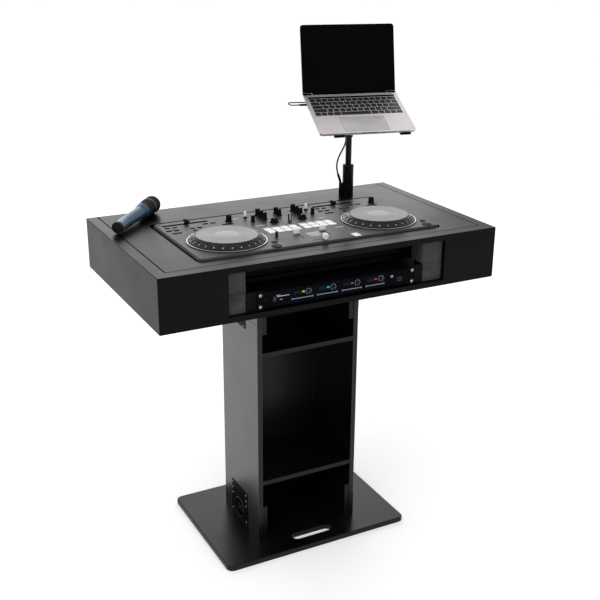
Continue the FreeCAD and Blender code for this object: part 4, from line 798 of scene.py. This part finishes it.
# rack screws: each head stands at its own turn on a black washer and carries a flat black cross of painted
# shade for its recess
screw = {
    "x": 232.55, "z": (840.1, 871.9),
    "washer": ((3.2, 0), (8, 0), (8, 0.7), (7.2, 1.2), (5, 1.2), (3.2, 1.0)),
    "head": ((4.4, 1.1), (4.5, 1.6), (4.4, 2.6), (3.7, 3.5), (2.6, 4.05), (1.2, 4.2)),
    "cross": (5.2, 1.5, 0.3), "crossShadeHigh": 3.95, "turn": 20, "rowTurn": 35, "sideTurn": 12,
}
bm = bmesh.new()
for side in (-1, 1):
    for row, z in enumerate(screw["z"]):
        place = onFront(side * screw["x"], receiver["face"], z)
        spin(bm, screw["washer"], place, sides=40, tone=1, loop=True)
        spin(bm, screw["head"], place, sides=40)
        # painted shade: two flat black bars stand in for the cross recess
        for quarter in (0, 90):
            turn = screw["turn"] + screw["rowTurn"] * row + quarter + screw["sideTurn"] * side
            slab(bm, screw["cross"], place @ at(0, 0, screw["crossShadeHigh"], turn), corner=0.3,
                 edge=0.05, tone=1)
rackScrews = piece(bm, "rackScrewHeads", "booth", [brightNickel, pvcSheath])
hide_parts("rack_screws")
print("receiver dressed")

# laptop: rows of low keys flush with the shell, touch strip, hinge covers, trackpad, painted shade of the
# thumb scoop, ports
laptop = {
    "unit": 19.31, "rowPitch": 18.2, "gap": 1.6, "left": -140, "back": 77.5, "keyHigh": 0.52, "keySunk": 0.3,
    "rows": ([1] * 13 + [1.5], [1.5] + [1] * 13, [1.75] + [1] * 11 + [1.75], [2.25] + [1] * 10 + [2.25],
             [1, 1, 1, 1.25, 5, 1.25, 1, 1, 1, 1]),
    # the touch strip with the two hinge covers, the trackpad with its bed
    "strips": (((280, 8.6, 0.42), (0, 83.2, -0.3), 1.2, 0.06, 1),
               ((29.4, 7.2, 0.3), (-137, 102.4, -0.05), 0.8, 0.08, 2),
               ((29.4, 7.2, 0.3), (137, 102.4, -0.05), 0.8, 0.08, 2)),
    "pad": (((140, 72, 0.4), (0, -61, -0.31), 3, 0.06, 0),
            ((141.2, 73.2, 0.34), (0, -61, -0.3), 3.6, 0.02, 1)),
    "notchShade": (50, 2.2, 0.15), "notchShadeAt": (2, -106.15, -1.3),
    "ports": ((-151.95, 34, -90), (151.95, 53, 90), (151.95, 34, 90)),
    "port": (2.8, 9, 0.12), "portHigh": -2.9,
    "jack": ((1.9, 0), (1.9, 0.12), (1.6, 0.15)), "jackAt": (151.95, 72, -2.9),
}
bm = bmesh.new()
for row, widths in enumerate(laptop["rows"]):
    x = laptop["left"]
    y = laptop["back"] - laptop["rowPitch"] * (row + 0.5)
    for share in widths:
        wide = share * laptop["unit"]
        slab(bm, (wide - laptop["gap"], laptop["rowPitch"] - laptop["gap"], laptop["keyHigh"]),
             laptopPlace @ at(x + wide / 2, y, -laptop["keySunk"]), corner=1.6, edge=0.12)
        x += wide
slabs(bm, laptopPlace, laptop["strips"])
piece(bm, "laptopKeys", "laptop_tray", [mouldedAbs, coatedGlass, flatBlackAndPaintedShade])
bm = bmesh.new()
slabs(bm, laptopPlace, laptop["pad"])
# painted shade: a dark strip on the front edge stands in for the thumb scoop
slab(bm, laptop["notchShade"], laptopPlace @ onFront(*laptop["notchShadeAt"]), corner=1, edge=0.05, tone=1)
for x, y, turn in laptop["ports"]:
    slab(bm, laptop["port"], laptopPlace @ at(x, y, laptop["portHigh"]) @ tip(turn, "Y"), corner=1.35,
         edge=0.03, tone=1)
spin(bm, laptop["jack"], laptopPlace @ at(*laptop["jackAt"]) @ tip(90, "Y"), sides=28, tone=1)
piece(bm, "laptopTrackpad", "laptop_tray", [etchedGlass, mouldedAbs])
# lid: glass with a chin, dark panel, seam above the barrel, camera hole, cover round the barrel
# and skirts that close the gap behind the base beside the barrel
display = {
    "at": (0, -107.05, 1.72),
    "front": (((303.3, 204.9, 0.1), (0, 0, 0), 9, 0.04, 0), ((303.3, 16, 0.09), (0, -94.45, 0), 0.6, 0.04, 0),
              ((286, 179, 0.04), (0, 2.5, 0.08), 3, 0.01, 1),
              ((243, 1.9, 0.12), (0, -102.7, 0), 0.3, 0.04, 2)),
    "lens": ((1.6, 0.05), (1.6, 0.13), (1.3, 0.15)), "lensAt": (0, 98.6, 0),
    "cover": ((3.61, -121.4), (3.78, -121.4), (3.78, 121.4), (3.61, 121.4)),
    "skirts": (((28.8, 4, 2), (-137.2, -2.6, 3.4), 0.5, 0.3, 2),
               ((28.8, 4, 2), (137.2, -2.6, 3.4), 0.5, 0.3, 2)),
}
bm = bmesh.new()
facing = lidPlace @ at(*display["at"]) @ tip(180, "X")
slabs(bm, facing, display["front"])
spin(bm, display["lens"], facing @ at(*display["lensAt"]), sides=28, tone=2)
spin(bm, display["cover"], lidPlace @ tip(90, "Y"), sides=40, tone=2, loop=True)
slabs(bm, lidPlace, display["skirts"])
piece(bm, "laptopDisplay", "laptop_lid", [coatedGlass, unlitPanel, flatBlackAndPaintedShade])
print("laptop dressed")

# butterfly latches: pressed bead round the cup, rivets through the plates
# a plate has its height and how far its rivets are above and below it
latch = {
    "skin": 166, "y": 9, "rivetsY": (-50, 50),
    "dishes": ((55.5, 28), (753.5, 28)), "keepers": ((112.5, 10), (696.5, 10)),
    "bead": ((29.6, -0.2), (29.6, 0.9), (30.6, 1.5), (32.2, 1.5), (33.4, 0.7), (33.4, -0.2)),
    "rivet": ((3.6, -0.2), (3.6, 0.5), (3.1, 1.2), (2.1, 1.7), (0.8, 1.9)),
}
bm = bmesh.new()
for side in (-1, 1):
    turn = tip(90 * side, "Y")
    x, y = side * latch["skin"], latch["y"]
    for z, _ in latch["dishes"]:
        spin(bm, latch["bead"], at(x, y, z) @ turn, sides=72, loop=True)
    for z, apart in latch["dishes"] + latch["keepers"]:
        for along in latch["rivetsY"]:
            for up in (-apart, apart):
                spin(bm, latch["rivet"], at(x, y + along, z + up) @ turn, sides=28, tone=1)
piece(bm, "latchBeads", "booth", [blackZinc, zincRivet])
print("latches riveted")

# top: the back joint is filled and sprayed over; flat black strips over the other three are painted shade in
# the joints
# a joint has the strip's width and its shift from the panel's edge
trim = {
    "fillet": (5, 0.75), "filletMore": 4, "filletSunk": 0.32, "left": (3.4, -1.4), "right": (2.2, 0.75),
    "front": (2.2, -0.75), "frontMore": 3, "shadeSunk": 0.24, "high": 0.35, "rear": 300,
}
low, high, middle = boxOf("top_panel")
bm = bmesh.new()
wide, aside = trim["fillet"]
slab(bm, (high.x - low.x + trim["filletMore"], wide, trim["high"]),
     at(middle.x, high.y + aside, high.z - trim["filletSunk"]), corner=0.5, edge=0.02)
# painted shade: flat black strips over the left, right and front joints
jointShadeLevel = high.z - trim["shadeSunk"]
long = trim["rear"] - low.y
for edge, word in ((low.x, "left"), (high.x, "right")):
    wide, aside = trim[word]
    slab(bm, (wide, long, trim["high"]), at(edge + aside, low.y + long / 2, jointShadeLevel), edge=0.06, tone=1)
wide, aside = trim["front"]
slab(bm, (high.x - low.x + trim["frontMore"], wide, trim["high"]),
     at(middle.x, low.y + aside, jointShadeLevel), edge=0.06, tone=1)
piece(bm, "topFilletAndJointShade", "booth", [satinLacquer, flatBlackAndPaintedShade])

# microphone: lathe-turned grip, tail cap, collar, woven grille over foam
mic = {
    "tail": (-479, 105.5, 979.3), "turn": 45.9, "rise": 2.18,
    "cap": ((10.5, 2), (12.6, 2), (13.2, 0.6), (15.2, 0), (16, 0.6), (16.3, 2), (16.3, 5.6), (15.7, 7)),
    "grip": ((15.2, 6.4), (16.4, 6.9), (17.2, 8), (17.2, 9.6), (16.9, 10.6), (17.2, 60), (17.8, 110),
             (18.2, 146), (18.3, 150), (19.8, 152.5), (20.6, 156), (21.4, 161), (22.5, 166), (22.9, 168.5),
             (22.4, 169.4)),
    "collar": ((21.6, 168.6), (23, 169.4), (23.5, 170.4), (23.5, 172.6), (23, 173.6), (21.6, 174)),
    "belt": ((24.4, 204.6), (25, 205.2), (25.3, 206.2), (25.3, 209.8), (25.1, 210.8), (24.4, 211.4)),
    "basket": (22.9, 173.2, 25, 228), "ball": 25.2, "ballAt": 231, "ballFrom": -6, "ballTo": 84,
    "wires": 56, "wireStep": 1.45, "wireThick": 0.7, "foamGap": 1.2, "foamLeast": 1.5,
}
heading, rise = math.radians(mic["turn"]), math.radians(mic["rise"])
along = Vector((math.cos(heading) * math.cos(rise), math.sin(heading) * math.cos(rise), math.sin(rise)))
across = Vector((0, 0, 1)).cross(along).normalized()
micPlace = at(*mic["tail"]) @ Matrix((across, along.cross(across), along)).transposed().to_4x4()
bm = bmesh.new()
for word, sides, tone in (("grip", 64, 0), ("cap", 64, 1), ("collar", 64, 1), ("belt", 72, 2)):
    spin(bm, mic[word], micPlace, sides, tone)
micBody = piece(bm, "microphoneBody", "microphone", [blueLacquer, pvcSheath, chromateWire])
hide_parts("microphone")
lowRadius, lowAt, highRadius, highAt = mic["basket"]
steps = round((highAt - lowAt) / mic["wireStep"])
outline = [(lowRadius + (highRadius - lowRadius) * step / steps, lowAt + (highAt - lowAt) * step / steps)
           for step in range(steps)]
steps = round(mic["ball"] * math.radians(mic["ballTo"]) / mic["wireStep"])
for step in range(steps + 1):
    turn = math.radians(mic["ballFrom"] + (mic["ballTo"] - mic["ballFrom"]) * step / steps)
    outline.append((mic["ball"] * math.cos(turn), mic["ballAt"] + mic["ball"] * math.sin(turn)))
bm = bmesh.new()
count = mic["wires"]
net = []
for row, (radius, height) in enumerate(outline):
    turns = [2 * math.pi * (i + 0.5 * (row % 2)) / count for i in range(count)]
    net.append([bm.verts.new(micPlace @ polar(radius, turn, height)) for turn in turns])
for row in range(1, len(net) - 1):
    for i in range(count):
        beside = (i + row % 2) % count
        bm.faces.new((net[row][i], net[row - 1][beside], net[row][(i + 1) % count], net[row + 1][beside]))
grille = piece(bm, "microphoneGrille", "microphone", [chromateWire])
wire = grille.modifiers.new("wire", "WIREFRAME")
wire.thickness, wire.use_even_offset = mic["wireThick"] * milli, True
bm = bmesh.new()
gap = mic["foamGap"]
spin(bm, [(radius - gap, height - (gap if height > mic["ballAt"] else 0))
          for radius, height in outline if radius > mic["foamLeast"]], micPlace, sides=64)
piece(bm, "microphoneFoam", "microphone", [darkFoam])
print("microphone built")
